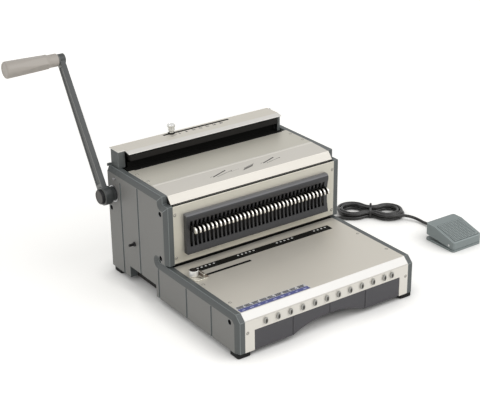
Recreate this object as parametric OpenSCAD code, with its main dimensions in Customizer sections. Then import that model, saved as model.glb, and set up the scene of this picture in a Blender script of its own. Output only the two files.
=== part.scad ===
// Wire binding machine: an electric punch with a wire rack, a crank-operated wire closer and a foot switch.
// Millimetres. X runs to the right, Y to the rear and Z up. The origin lies on the bench, below the
// middle of the body.

/* [Body] */
// Width over the two side panels
body_w = 380; // [374:1:420]
// Depth from the front panel to the rear cover
body_d = 410; // [400:1:440]
// Height of the side panels above the bench
body_h = 212.5; // [208:0.5:222]
// Depth of the upright, from its face to the rear cover
upright_d = 199; // [196:1:206]
// Height of the table above the bench
table_h = 78; // [75:1:84]
// Height of the open paper throat
throat_gap = 5; // [4.5:0.5:7]
// Depth of the paper throat behind the face
throat_d = 36.5; // [34:0.5:40]
// Thickness of a side panel
panel_t = 15; // [13:0.5:20]
// Wall of a side panel between its ribs
panel_wall = 4; // [3:0.5:6]
// Bevel of the side panels, measured across the panel
bevel_x = 5; // [3:0.5:8]
// Bevel of the side panels, measured along the panel's face
bevel_r = 10.5; // [5:0.5:11]
// Thickness of the sheet-metal covers
sheet_t = 1.5; // [1:0.25:2]
// Thickness of the base plate
base_t = 2; // [1.5:0.5:3]
// Thickness of the inner side frames
frame_t = 5; // [3:0.5:6]
// Height of the rubber feet
foot_h = 9; // [6:0.5:12]
// Width of the rubber feet
foot_d = 26; // [18:1:30]
// Depth of the sloping strip in front of the table
strip_d = 12; // [8:0.5:16]
// Height of the sloping strip in front of the table
strip_h = 11.5; // [8:0.5:13]

/* [Wire rack] */
// Spacing of the wire's loops
pitch = 8.467; // [8:0.001:8.6]
// Thickness of one hook
hook_t = 3.6; // [2:0.1:3.8]
// Height of one hook
hook_h = 11.5; // [8:0.5:13]
// Reach of the hooks in front of the rack panel
hook_reach = 15; // [10:0.5:20]
// Height of the hooks' middle above the table
hook_up = 71; // [66:1:76]
// Play at each side of a hook in its slot
slot_play = 0.9; // [0.2:0.05:1]
// Height of the rack panel
rack_h = 75; // [70:1:80]
// Depth of the rack panel in front of the face
rack_d = 10.5; // [8:0.5:14]
// Wall of the rack panel
rack_wall = 2; // [1.5:0.5:3]
// Depth of the hollow along the rack panel's front
rack_dish = 4; // [2:0.5:5]

/* [Wire closer] */
// Height of the closer plate above the side panels
closer_h = 29; // [27:0.5:34]
// Depth of the closer plate
closer_d = 47; // [45:0.5:52]
// Stroke of the closer jaw
jaw_stroke = 10; // [6:0.5:11]
// Pull angle of the handle
pull_angle = 85; // [70:1:95]
// Length of the handle arm between its centres
arm_len = 261; // [200:1:320]
// Angle of the resting arm behind the vertical
arm_lean = 31.8; // [20:0.1:45]
// Length of the grip
grip_len = 103; // [80:1:130]
// Diameter of the grip's outer end
grip_d = 31; // [26:1:36]
// Diameter of the handle shaft
shaft_d = 14; // [10:1:16]
// Length of the stop knob's slot
stop_slot_len = 144; // [100:1:180]

/* [Punch] */
// Side of one square punch
punch_w = 3.9; // [3:0.1:4.2]
// Stroke of the punch ram
punch_stroke = 10; // [9:0.5:11]
// Working turn of the drive shaft
drive_angle = 150; // [120:1:160]
// Number of pull pins
pin_count = 12; // [6:1:12]
// Spacing of the pull pins
pin_pitch = 25.4; // [20:0.1:25.4]
// Diameter of a pull pin's knob
pin_head_d = 10; // [7:0.5:12]
// Diameter of a pull pin's rod
pin_rod_d = 4; // [3:0.5:5]
// Travel of a pull pin
pin_travel = 8; // [5:0.5:8]
// Height of the chip drawer's front
drawer_h = 36; // [30:1:38]

/* [Foot switch] */
// Width of the foot switch
pedal_w = 73; // [60:1:80]
// Length of the foot switch
pedal_l = 78; // [70:1:85]
// Height of the treadle at its rear
pedal_rear_h = 35; // [28:1:40]
// Height of the treadle at its front
pedal_front_h = 20; // [18:1:24]
// Diameter of the lead
cord_d = 6; // [5:0.5:6]

/* [Hidden] */
$fn = 48;
over = 1;
fit = 0.05;
gap = 0.3;

x_out = body_w / 2;
x_in = x_out - panel_t;
x_frame = x_in - frame_t;
y_front = -body_d / 2;
y_rear = body_d / 2;
y_face = y_rear - upright_d;
y_throat = y_face + throat_d;
y_strip = y_front + strip_d;
y_back = y_rear - sheet_t;
z_table = table_h;
z_lip = table_h + throat_gap;
z_strip = table_h - strip_h;
z_floor = foot_h + base_t;
foot_in = 2;
foot_round = 4;

// Rim and step at the top front corner of the upright
rim_run = 16;
notch_run = 17.5;
rim_drop = 18;
side_drop = 3;
tail_t = 3;
tail_up = 1;
y_rim = y_face + rim_run;
y_notch = y_face + notch_run;
z_step = body_h - rim_drop;
z_side = body_h - side_drop;

// Vertical grooves of the side panels, as distances from the rear and the front
groove_w = 4;
groove_cut = 2;
y_groove_a = y_rear - 45;
y_groove_b = y_rear - 105;
y_groove_c = y_rear - 167;
y_groove_d = y_front + 153;
y_groove_e = y_front + 77;
rib_half = 3;
panel_hole_d = 9;
hold_y0 = y_rear - 157;
hold_y1 = y_rear - 66;
hold_h = 23;
z_hold = foot_h + hold_h;

// Wire rack
hook_margin = 28;
hook_count = 2 * floor((x_in - hook_margin) / pitch) + 1;
punch_count = hook_count - 1;
rack_margin = 10.5;
rack_w = (hook_count - 1) * pitch + 2 * rack_margin;
rack_round = 6;
rack_rim = 3;
z_hook = z_table + hook_up;
z_rack = z_hook + 27.5 - rack_h;
y_rack = y_face - rack_d;
slot_w = hook_t + 2 * slot_play;
slot_below = 35;
slot_above = 13.5;
window_in = 6;
lip_rise = 2.5;
bar_y0 = y_face + sheet_t + 1.5;
bar_t = 6;

// Wire closer
y_shaft = y_rear - 20;
z_shaft = body_h - 51.5;
z_plate = body_h + closer_h;
plate_over = 3;
y_tail = y_rear + plate_over;
y_lip = y_tail - closer_d;
lip_run = 13;
lip_drop = 3;
x_cap = x_in + 6.5;
cap_t = 14;
cap_d = 28.5;
cap_inset = 5;
right_cap_t = 6;
plate_x = x_in - 5;
y_cover_end = y_lip - 7.5;
y_stop = y_rear - 5.5;
stop_slot_w = 4.5;
stop_rest = -55;
bed_drop = 5;
bed_t = 3;
y_wall = y_rear - cap_d;
jaw_x = min(x_cap - cap_t - 2.5, plate_x - right_cap_t - 1);
jaw_top = z_plate - 7;
jaw_d = 11;
jaw_h = 11;
flange_h = 6;
cam_x = x_frame - 20;
cam_t = 7;
yoke_t = 8;
cam_small = 9.5;
nose_h = 4;
nose_r = 1;
cam_gap = 0.5;

// Handle
hub_d = 34;
hub_x0 = x_out + 24.5;
hub_x1 = x_out + 10;
collar_d = 26;
cap_d_hub = 27.5;
cap_h_hub = 6.5;
arm_x0 = x_out + 24;
arm_x1 = x_out + 14;
arm_w0 = 24;
arm_w1 = 16;
arm_recess = 2;
top_boss_d = 20;
spindle_d = 8;
bush_od = shaft_d + 8;
y_grip = y_shaft + arm_len * sin(arm_lean);
z_grip = z_shaft + arm_len * cos(arm_lean);

// Punch
y_pin = y_face + 18;
y_drive = y_face + 44;
z_drive = z_lip + 67;
guide_t = 12;
die_t = 12;
die_y0 = y_face + 3;
die_y1 = y_throat + 2.5;
skirt_t = 8;
stop_t = 3;
z_pin = z_table - 20.5;
pin_x0 = -134.7;
last_pin_step = 2 * pitch;
punch_hole = punch_w + 0.2;
ram_d = 14;
ram_h = 16;
ram_z = z_lip + guide_t + punch_stroke + 3;
ram_x = x_frame - 4;
post_x = x_frame - 12;
post_d = 8;
punch_tip = z_lip + 1.5;
drive_d = 16;
drive_bush_od = drive_d + 8;
drive_small = 12;
drive_cam_x = x_frame - 55;
box_x0 = drive_cam_x + 10;
box_y0 = y_drive - 16;
box_y1 = y_drive + 50;
box_z0 = z_drive - 52;
box_z1 = z_drive + 32;
motor_d = 58;
motor_x = x_frame - motor_d / 2 - 3;
motor_z = z_drive - 29;
motor_len = 52;
vent_count = 12;
vent_pitch = 8;
vent_w = 3.5;
vent_h = 36;
vent_x = motor_x - 78;
vent_z = motor_z - 31;

// Chip drawer
drawer_in = 14.5;
drawer_w = 2 * (x_frame - drawer_in);
drawer_t = 5;
drawer_play = 0.7;
tray_x = drawer_w / 2 - 1;
tray_wall = 2;
tray_back = die_y1 + 3;
finger_d = 24;
z_drawer = foot_h + 0.8;
arch_half = 77;
arch_rise = 17;
drawer_groove = 78;
notch_d = 48;

// Margin guide
y_guide = y_face - 53;
guide_slot_x0 = -x_in + 7;
guide_slot_len = 116;
guide_slot_w = 5;
guide_x = -x_in + 15;
guide_knob_x = -x_in + 9;
guide_knob_y = y_guide + 7;
guide_base = 1.5;
guide_w = 27;
guide_wall = 2.5;
guide_wall_h = 9;
drum_d = 15.5;
drum_h = 10;
drum_stud = 5.5;
stud_d = 5;

// Ruler
ruler_x0 = -x_in + 15;
ruler_x1 = x_in - 29.5;
ruler_y0 = y_face - 35.5;
ruler_w = 16;
ruler_t = 0.6;

// Electrics
inlet_x = -x_frame + 60;
inlet_z = 46;
inlet_w = 58;
inlet_h = 28;
inlet_flange = 2;
rocker_x = inlet_x + 16;
rocker_r = 9;
rocker_len = 14;
rocker_tilt = 10;
socket_x = inlet_x - 12;
socket_w = 24;
socket_h = 16.5;
socket_deep = 14;
gland_x = 65;
gland_z = 20;
gland_len = 25;

// Foot switch
pedal_x = 403;
pedal_back = 289.5;
pedal_y = y_rear - pedal_back;
pedal_r = 5;
pedal_wall = 2.5;
pedal_base_h = 4;
pedal_y0 = pedal_y - pedal_l / 2;
pedal_y1 = pedal_y + pedal_l / 2;
pivot_y = pedal_y0 + 13;
pivot_z = 10.8;
pivot_d = 4;
treadle_front_z = 5;
treadle_rear_z = 12;
pedal_gland_x = pedal_x + 7;
pedal_gland_z = 7;
pedal_gland_len = 18;

// Lead: the hank lies between two stretches of tube
cord_r = cord_d / 2;
hank_mid = [357, y_rear - 97];
hank_turn = -41;
hank_z = cord_r + 0.8;
hank_step = cord_d + 1.2;
hank_layer = cord_d + 0.6;
hank_waist = cord_r;
lobe_x = 36;
lobe_r = 17.5;
waist_r = (lobe_x * lobe_x + hank_waist * hank_waist - lobe_r * lobe_r) / (2 * (lobe_r - hank_waist));
lobe_turn = atan2(hank_waist + waist_r, -lobe_x);
hank_start = 225.5;
hank_turns = 4 + 99 / 360;
hank_rings = 24;
climb_turns = 0.5;
tie_w = 5;
tie_t = 0.6;
lead_sides = 10;

// Points of the two stretches, with Y counted from the rear cover
lead_to_hank = [
    [65, 34, 20], [67.5, 47.5, 19], [75, 59.5, 17], [86, 67.5, 14], [99.5, 70.5, 10.5], [113.5, 68.5, 7.5],
    [125, 61.5, 5], [136, 52, 3.5], [147.5, 42, 3], [159, 32, 3], [170, 22.5, 3], [181.5, 12.5, 3],
    [193, 2.5, 3], [204, -7.5, 3], [215.5, -17, 3], [227, -27, 3], [238, -37, 3], [249.5, -46.5, 3],
    [261, -56.5, 3], [272, -66.5, 3.4], [283, -76, 3.8]];
lead_to_pedal = [
    [392.5, -159.5, 9.5], [400.5, -166.5, 8], [406, -175.5, 6.5], [409, -186, 5], [410, -198, 4],
    [410, -210, 5], [410, -218, 6.5], [410, -225, 7]];

// Colours
dark_grey = [0.31, 0.34, 0.36];
rack_grey = [0.27, 0.27, 0.29];
brushed = [0.80, 0.78, 0.73];
pale = [0.93, 0.93, 0.91];
steel = [0.72, 0.73, 0.75];
black = [0.08, 0.08, 0.08];
grip_grey = [0.75, 0.72, 0.69];
pedal_grey = [0.50, 0.54, 0.55];

// Small helpers
function unit(v) = v / norm(v);
function left_normal(a, b) = let (d = unit(b - a)) [-d[1], d[0]];
function mitre(p, i) =
    i == 0 ? left_normal(p[0], p[1])
    : i == len(p) - 1 ? left_normal(p[i - 1], p[i])
    : let (m = left_normal(p[i - 1], p[i]), n = left_normal(p[i], p[i + 1])) (m + n) / (1 + m * n);
// Outline of a bent sheet, with its thickness to the right of the path p
function bent(p, t) = concat(p, [for (i = [len(p) - 1 : -1 : 0]) p[i] - t * mitre(p, i)]);

module box(lo, hi) translate(lo) cube(hi - lo);
module along_x(x0, x1) translate([x0, 0, 0]) rotate([90, 0, 90]) linear_extrude(x1 - x0) children();
module rod_x(x0, x1, d, y, z) translate([x0, y, z]) rotate([0, 90, 0]) cylinder(d = d, h = x1 - x0);
module rod_y(y0, y1, d, x, z) translate([x, y1, z]) rotate([90, 0, 0]) cylinder(d = d, h = y1 - y0);
module rod_z(z0, z1, d, x, y) translate([x, y, z0]) cylinder(d = d, h = z1 - z0);
module both_sides() {
    children();
    mirror([1, 0, 0]) children();
}
module round_rect(w, l, r) {
    square([w, l - 2 * r], center = true);
    square([w - 2 * r, l], center = true);
    for (x = [-1, 1], y = [-1, 1]) translate([x * (w / 2 - r), y * (l / 2 - r)]) circle(r);
}

// Side panels
side_edge = [
    [y_front, foot_h], [y_rear, foot_h], [y_rear, z_side], [y_notch, z_side], [y_notch, z_step],
    [y_face, z_step], [y_face, z_table], [y_strip, z_table], [y_front, z_strip]];

// Wedge that bevels the outer edge between two points of the panel's outline
module edge_cut(a, b, before = over, after = over) {
    length = norm(b - a);
    spare = 0.2;
    translate([0, a[0], a[1]]) rotate([atan2(b[1] - a[1], b[0] - a[0]), 0, 0])
        translate([0, length + after, 0]) rotate([90, 0, 0]) linear_extrude(length + before + after)
            polygon([
                [x_out - bevel_x * (1 + spare), -bevel_r * spare],
                [x_out + bevel_x * spare, -bevel_r * spare],
                [x_out + bevel_x * spare, bevel_r * (1 + spare)]]);
}

// Cone that carries the bevel round an inner corner
module corner_cut(p, r) {
    slope = bevel_r / bevel_x;
    translate([x_out - bevel_x, p[0], p[1]]) rotate([0, 90, 0])
        cylinder(h = bevel_x + over, r1 = r, r2 = r + slope * (bevel_x + over));
}

module panel_bay(y0, y1, z0, z1) box([x_in - over, y0, z0], [x_out - panel_wall, y1, z1]);

module panel_groove(y, z0, z1)
    box([x_out - groove_cut, y - groove_w / 2, z0], [x_out + over, y + groove_w / 2, z1]);

module panel_hole(y, z) rod_x(x_out - 6, x_out + over, panel_hole_d, y, z);

module side_panel() {
    round_r = throat_gap / 2;
    throat_mid = [y_throat - round_r, z_table + round_r];
    bay_top = z_side - 13;
    bay_low = z_hold + 6;
    base_low = foot_h + 6;
    base_top = z_table - 16;
    difference() {
        along_x(x_in, x_out) polygon(side_edge);
        // Paper throat
        box([x_in - over, y_face - over, z_table], [x_out + over, throat_mid[0], z_lip]);
        rod_x(x_in - over, x_out + over, throat_gap, throat_mid[0], throat_mid[1]);
        // Bevels
        edge_cut(side_edge[2], side_edge[3]);
        edge_cut(side_edge[3], side_edge[4], over, 0);
        edge_cut(side_edge[4], side_edge[5], 0, over);
        edge_cut(side_edge[5], [y_face, z_lip], over, 0);
        edge_cut([throat_mid[0], z_table], side_edge[7], 0, over);
        edge_cut(side_edge[7], side_edge[8]);
        edge_cut(side_edge[8], side_edge[0]);
        corner_cut(side_edge[4], 0.01);
        corner_cut(throat_mid, round_r);
        // Grooves of the outer face
        panel_groove(y_groove_a, foot_h - over, z_side - 20.5);
        panel_groove(y_groove_b, z_hold, z_side - bevel_r);
        panel_groove(y_groove_c, foot_h - over, z_table - bevel_r);
        panel_groove(y_groove_d, foot_h - over, z_table - bevel_r);
        panel_groove(y_groove_e, foot_h - over, z_table - bevel_r);
        // Hand hold in the lower edge
        box([x_in - over, hold_y0, foot_h - over], [x_out + over, hold_y1, z_hold]);
        // Screw holes
        panel_hole(y_face + 22.4, z_lip + 9);
        panel_hole(y_face + 18.7, z_step - 17);
        panel_hole(y_rear - 8, z_shaft - 32);
        panel_hole(y_front + 23, z_strip - 5);
        // Bays between the ribs of the inner face
        panel_bay(y_front + 8, y_groove_e - rib_half, base_low, base_top);
        panel_bay(y_groove_e + rib_half, y_groove_d - rib_half, base_low, base_top);
        panel_bay(y_groove_d + rib_half, y_groove_c - rib_half, base_low, base_top);
        panel_bay(y_face + 12, y_throat + 2, z_lip + 8, z_step - 14);
        panel_bay(y_throat + 8, y_groove_b - rib_half, bay_low, bay_top);
        panel_bay(y_groove_b + rib_half, y_groove_a - rib_half, bay_low, bay_top);
        panel_bay(y_groove_a + rib_half, y_rear - 8, bay_low, bay_top);
    }
    // Tail that stands up behind the top edge
    box([x_cap + gap, y_rear - tail_t, z_side - over], [x_out, y_rear, body_h + tail_up]);
}

module left_side_panel() color(dark_grey) difference() {
    mirror([1, 0, 0]) side_panel();
    rod_x(-x_out - over, -x_in + over, bush_od + 3, y_shaft, z_shaft);
    rod_x(-x_out - over, -x_out + peg_in, peg_d, stop_peg_y, stop_peg_z);
}

module right_side_panel() color(dark_grey) side_panel();

// Frame, base and covers
peg_d = 4;
peg_in = 3;
stop_peg_y = y_rear - 28;
stop_peg_z = z_shaft + 31.5;
frame_edge = [
    [y_front + 2 * sheet_t, z_floor], [y_back, z_floor], [y_back, body_h - 7.5],
    [y_rim + 5, body_h - 7.5], [y_face + sheet_t, z_step - 5], [y_face + sheet_t, z_lip],
    [die_y1, z_lip], [die_y1, z_table - sheet_t], [y_strip + 2, z_table - sheet_t],
    [y_front + 2 * sheet_t, z_strip - 2]];

module side_frames() color(steel) difference() {
    both_sides() along_x(x_frame, x_in) polygon(frame_edge);
    rod_x(-x_in - over, x_in + over, bush_od, y_shaft, z_shaft);
    rod_x(-x_in - over, 0, drive_bush_od, y_drive, z_drive);
}

module base_plate() color(black) {
    base_y0 = y_front + 7;
    difference() {
        box([-x_in, base_y0, foot_h], [x_in, y_back, z_floor]);
        // Notch under the drawer's finger arch
        box([-arch_half, base_y0 - over, foot_h - over], [arch_half, base_y0 + notch_d, z_floor + over]);
    }
    // Runners beside the chip drawer
    both_sides() box([tray_x + gap, y_front + 9, foot_h], [tray_x + gap + 2, tray_back, z_floor + 14]);
}

module rubber_feet() color(black) {
    edge = foot_in + foot_d / 2;
    for (x = [-1, 1], y = [y_front + edge, y_rear - edge])
        translate([x * (x_out - edge), y, 0]) linear_extrude(foot_h) round_rect(foot_d, foot_d, foot_round);
}

module table_plate() color(brushed) difference() {
    box([-x_in, y_strip, z_table - sheet_t], [x_in, die_y0, z_table]);
    translate([guide_slot_x0, y_guide - guide_slot_w / 2, z_table - sheet_t - over])
        cube([guide_slot_len, guide_slot_w, sheet_t + 2 * over]);
    screw_holes(table_screws);
}

module front_panel() color(brushed) {
    slant = sheet_t * norm([strip_d, strip_h]) / strip_d;
    z_bend = z_strip - slant + sheet_t * strip_h / strip_d;
    window = drawer_w / 2 + drawer_play;
    difference() {
        along_x(-x_in, x_in) polygon([
            [y_strip, z_table], [y_front, z_strip], [y_front, foot_h],
            [y_front + sheet_t, foot_h], [y_front + sheet_t, z_bend], [y_strip, z_table - slant]]);
        box([-window, y_front - over, foot_h - over],
            [window, y_front + sheet_t + over, z_drawer + drawer_h + drawer_play]);
        for (i = [0 : pin_count - 1])
            rod_y(y_front - over, y_front + sheet_t + over, pin_rod_d + 2 * fit, pin_x(i), z_pin);
        screw_holes(front_screws);
    }
}

module ruler_strip() color(black)
    box([ruler_x0, ruler_y0, z_table], [ruler_x1, ruler_y0 + ruler_w, z_table + ruler_t]);

module face_plate() color(brushed) difference() {
    box([-x_in, y_face, z_lip + lip_rise], [x_in, y_face + sheet_t, z_step - 1.5]);
    box([-rack_w / 2 + window_in, y_face - over, z_rack + window_in],
        [rack_w / 2 - window_in, y_face + sheet_t + over, z_rack + rack_h - window_in]);
    screw_holes(face_screws);
}

cover_path = [
    [y_face + 5, z_step + 0.7], [y_rim, body_h - 4], [y_face + 65.5, body_h - 2],
    [y_cover_end, body_h - 2], [y_cover_end, body_h - 7.5]];

module top_cover() color(brushed) {
    difference() {
        along_x(-x_in, x_in) polygon(bent(cover_path, sheet_t));
        screw_holes(top_screws);
    }
    // Stiffening fold behind the face plate's upper edge
    box([-x_frame + 1, y_face + 6, z_step - 6], [x_frame - 1, y_face + 6 + sheet_t, z_step + 1.5]);
}

module rear_cover() color(dark_grey) difference() {
    box([-x_in, y_back, foot_h], [x_in, y_rear, z_plate - sheet_t]);
    box([inlet_x - inlet_w / 2 + 2, y_back - over, inlet_z - inlet_h / 2 + 2],
        [inlet_x + inlet_w / 2 - 2, y_rear + over, inlet_z + inlet_h / 2 - 2]);
    rod_y(y_back - over, y_rear + over, 11 + 2 * fit, gland_x, gland_z);
    // Vent slots behind the motor
    for (i = [0 : vent_count - 1])
        translate([vent_x + i * vent_pitch, y_back - over, vent_z])
            cube([vent_w, sheet_t + 2 * over, vent_h]);
}

// Screws, listed as the point under each head and the way the head faces
face_screws = [
    for (x = [-1, 1], z = [z_lip + 13, z_step - 17]) [[x * (x_in - 3.5), y_face, z], [90, 0, 0]]];
table_screws = [
    for (x = [-1, 1], y = [y_face - 80, y_front + 52]) [[x * (x_in - 6), y, z_table], [0, 0, 0]]];
front_screws = [for (x = [-1, 1]) [[x * (x_in - 5), y_front, z_pin - 13], [90, 0, 0]]];
top_screws = [
    for (x = [-1, 1], y = [y_face + 88, y_face + 126]) [[x * (x_in - 5.5), y, body_h - 2], [0, 0, 0]]];
screw_d = 3;

module screw_holes(screws)
    for (s = screws) translate(s[0]) rotate(s[1])
        translate([0, 0, -sheet_t - over]) cylinder(d = screw_d + 2 * fit, h = sheet_t + 2 * over);

module cover_screws() color(steel)
    for (s = concat(face_screws, table_screws, front_screws, top_screws)) translate(s[0]) rotate(s[1]) {
        translate([0, 0, -sheet_t]) cylinder(d = screw_d, h = sheet_t + 0.5);
        rotate_extrude() polygon([[0, 0], [2.3, 0], [2.1, 0.5], [1.3, 0.9], [0, 1]]);
    }

// Bright peg above the handle's hub
module stop_peg() color(steel) rod_x(-x_out - 5, -x_out + peg_in, peg_d, stop_peg_y, stop_peg_z);

module side_peg() color(black) {
    peg_y = y_rear - 87;
    peg_z = foot_h + 76;
    rod_x(-x_out - 2, -x_out, 9, peg_y, peg_z);
    rod_x(-x_out - 11.6, -x_out - 2, 5, peg_y, peg_z);
}

// Wire rack
function hook_x(i) = (i - (hook_count - 1) / 2) * pitch;

// Section of the rack panel or of its hollow, with a round upper front edge
// Quarter of a disc, for a rounded front and top corner
module front_round(r)
    intersection() {
        circle(r);
        translate([-r, 0]) square(r);
    }

// The panel's front is hollowed between its bottom rim and its rounded top
module rack_section(inset, back) {
    r = rack_round - inset;
    front = y_rack + inset;
    low = z_rack + inset;
    deep = y_face + back - front;
    tall = rack_h - 2 * inset;
    half = (rack_h - rack_round - 2 * rack_rim) / 2;
    dish_r = (half * half + rack_dish * rack_dish) / (2 * rack_dish);
    difference() {
        union() {
            translate([front, low]) square([deep, tall - r]);
            translate([front + r, low]) square([deep - r, tall]);
            translate([front + r, low + tall - r]) front_round(r);
        }
        translate([y_rack + rack_dish - dish_r, z_rack + rack_rim + half]) circle(dish_r + inset, $fn = 96);
    }
}

module hook_panel() color(rack_grey) {
    inner = rack_w / 2 - rack_wall;
    difference() {
        along_x(-rack_w / 2, rack_w / 2) rack_section(0, 0);
        along_x(-inner, inner) rack_section(rack_wall, over);
        for (i = [0 : hook_count - 1])
            box([hook_x(i) - slot_w / 2, y_rack - over, z_hook - slot_below],
                [hook_x(i) + slot_w / 2, y_rack + rack_dish + rack_wall + over, z_hook + slot_above]);
    }
}

// A thin web above and below the bar closes the view through the slots
module hook_bar() color(black) {
    box([-x_frame, bar_y0, z_hook - 8], [x_frame, bar_y0 + bar_t, z_hook + 8]);
    box([-rack_w / 2, bar_y0, z_hook - slot_below - 2], [rack_w / 2, bar_y0 + sheet_t, z_hook + slot_above + 2]);
}

// One stamped hook: a shank with a wide round above its tip and a small one below
module hook_shape() {
    tip = y_rack - hook_reach;
    low = z_hook - hook_h / 2;
    top_r = 0.7 * hook_h;
    low_r = 0.25 * hook_h;
    translate([tip + top_r, low]) square([bar_y0 - tip - top_r, hook_h]);
    translate([tip + low_r, low]) square([top_r - low_r, hook_h - top_r]);
    translate([tip, low + low_r]) square([top_r, hook_h - top_r - low_r]);
    translate([tip + top_r, low + hook_h - top_r]) front_round(top_r);
    translate([tip + low_r, low + low_r]) circle(low_r);
}

module wire_hooks() color(steel)
    for (i = [0 : hook_count - 1]) along_x(hook_x(i) - hook_t / 2, hook_x(i) + hook_t / 2) hook_shape();

// Wire closer
module closer_bed() color(black) {
    z_bed = body_h - bed_drop;
    box([-x_frame, y_cover_end + 1, z_bed - bed_t], [x_frame, y_wall + bed_t, z_bed]);
    box([-jaw_x, y_wall, z_bed], [jaw_x, y_wall + bed_t, jaw_top - flange_h - jaw_stroke - 1]);
}

module closer_end_caps() color(dark_grey) {
    box([-x_cap, y_wall, z_side], [-x_cap + cap_t, y_back, z_plate - sheet_t]);
    z_under = z_plate - sheet_t - lip_drop;
    right_x = plate_x - right_cap_t;
    box([right_x, y_lip + cap_inset, body_h - bed_drop], [plate_x, y_back, z_under]);
    box([right_x, y_lip + lip_run, z_under - over], [plate_x, y_back, z_plate - sheet_t]);
}

closer_path = [[y_lip, z_plate - lip_drop], [y_lip + lip_run, z_plate], [y_tail, z_plate]];

module closer_plate() color(brushed) difference() {
    along_x(-x_cap, plate_x) polygon(bent(closer_path, sheet_t));
    // The left end steps back beside its cap
    box([-x_cap - over, y_lip - over, z_plate - sheet_t - lip_drop - over],
        [-x_cap + cap_t, y_wall, z_plate + over]);
    box([-stop_slot_len / 2, y_stop - stop_slot_w / 2, z_plate - sheet_t - over],
        [stop_slot_len / 2, y_stop + stop_slot_w / 2, z_plate + over]);
}

// Cam radius at an angle from the direction that points at the follower when the shaft rests.
// Opposite radii always add up to the same sum, so the yoke is driven both ways.
function rise(a, stroke, turn) = stroke * min(max(a, 0), turn) / turn;
function cam_radius(a, small, stroke, turn) =
    a < 180 ? small + rise(a, stroke, turn) : small + stroke - rise(a - 180, stroke, turn);
function cam_points(small, stroke, turn, step) = [
    for (a = [0 : step : 360 - step])
        cam_radius(a, small, stroke, turn) * [cos(-90 - a), sin(-90 - a)]];

module cam(x, small, stroke, turn, y, z)
    translate([0, y, z]) along_x(x - cam_t / 2, x + cam_t / 2) polygon(cam_points(small, stroke, turn, 5));

// Opening of a yoke round its cam, with a follower nose below and above the shaft
module yoke_window(small, stroke, front, rear) {
    low = -small - cam_gap;
    high = small + stroke + cam_gap;
    difference() {
        translate([-front, low - nose_h]) square([front + rear, high - low + 2 * nose_h]);
        for (s = [[low, -1], [high, 1]]) {
            translate([0, s[0] + s[1] * nose_r]) circle(nose_r);
            translate([-nose_r, min(s[0] + s[1] * nose_r, s[0] + s[1] * (nose_h + over))])
                square([2 * nose_r, nose_h + over - nose_r]);
        }
    }
}

module closer_jaw() color(black) {
    y_jaw = y_wall - 2 - jaw_d;
    y_end = y_back - 2;
    y_neck = y_wall + bed_t + 2;
    z_shoulder = body_h - bed_drop - bed_t - 3;
    front = cam_small + jaw_stroke + 1.5;
    rear = cam_small + 2.8;
    z_foot = z_shaft - cam_small - cam_gap - nose_h - 8;
    box([-jaw_x, y_jaw, jaw_top - jaw_h], [jaw_x, y_jaw + jaw_d, jaw_top]);
    box([-jaw_x, y_jaw + jaw_d, jaw_top - flange_h], [jaw_x, y_end, jaw_top]);
    both_sides() along_x(cam_x - yoke_t / 2, cam_x + yoke_t / 2) difference() {
        union() {
            translate([y_shaft - front - 4, z_foot])
                square([y_end - y_shaft + front + 4, z_shoulder - z_foot]);
            translate([y_neck, z_shoulder - over])
                square([y_end - y_neck, jaw_top - flange_h - z_shoulder + over]);
        }
        translate([y_shaft, z_shaft]) yoke_window(cam_small, jaw_stroke, front, rear);
    }
}

module handle_shaft() color(steel) {
    rod_x(-hub_x0 + 2, x_in - 1, shaft_d, y_shaft, z_shaft);
    both_sides() cam(cam_x, cam_small, jaw_stroke, pull_angle, y_shaft, z_shaft);
}

module shaft_bushes() color(steel) difference() {
    union() {
        both_sides() rod_x(x_frame, x_in, bush_od, y_shaft, z_shaft);
        rod_x(-x_in, -x_frame, drive_bush_od, y_drive, z_drive);
    }
    rod_x(-x_in - over, x_in + over, shaft_d + 2 * fit, y_shaft, z_shaft);
    rod_x(-x_in - over, x_in + over, drive_d + 2 * fit, y_drive, z_drive);
}

// Outline of the arm from its hub, along +Y of its own frame, narrowed by an inset
module arm_shape(inset, start, stop) {
    w0 = arm_w0 / 2 - inset;
    w1 = arm_w1 / 2 - inset;
    function half(v) = w0 + (w1 - w0) * v / arm_len;
    polygon([[-half(start), start], [half(start), start], [half(stop), stop], [-half(stop), stop]]);
}

// Places a shape drawn in the arm's plane, between two distances left of the middle
module arm_plate(x0, x1)
    translate([-x0, y_shaft, z_shaft]) rotate([-arm_lean, 0, 0]) rotate([90, 0, 90]) linear_extrude(x0 - x1)
        children();

module handle_arm() color(dark_grey) difference() {
    union() {
        rod_x(-hub_x0, -hub_x1, hub_d, y_shaft, z_shaft);
        rod_x(-hub_x1, -x_out - 1, collar_d, y_shaft, z_shaft);
        arm_plate(arm_x0, arm_x1) arm_shape(0, 0, arm_len);
        rod_x(-arm_x0 - 2, -arm_x1 + 2, top_boss_d, y_grip, z_grip);
        rod_x(-arm_x0 - grip_len, -arm_x0, spindle_d, y_grip, z_grip);
    }
    arm_plate(arm_x0 + over, arm_x0 - arm_recess) arm_shape(4, hub_d / 2 + 6, arm_len - top_boss_d / 2 - 6);
    rod_x(-hub_x0 + 2, -x_out, shaft_d, y_shaft, z_shaft);
}

module hub_cap() color(grip_grey) translate([-hub_x0, y_shaft, z_shaft]) rotate([0, -90, 0])
    rotate_extrude() polygon([
        [0, 0], [cap_d_hub / 2, 0], [cap_d_hub / 2, cap_h_hub - 1],
        [cap_d_hub / 2 - 1, cap_h_hub], [0, cap_h_hub]]);

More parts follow.
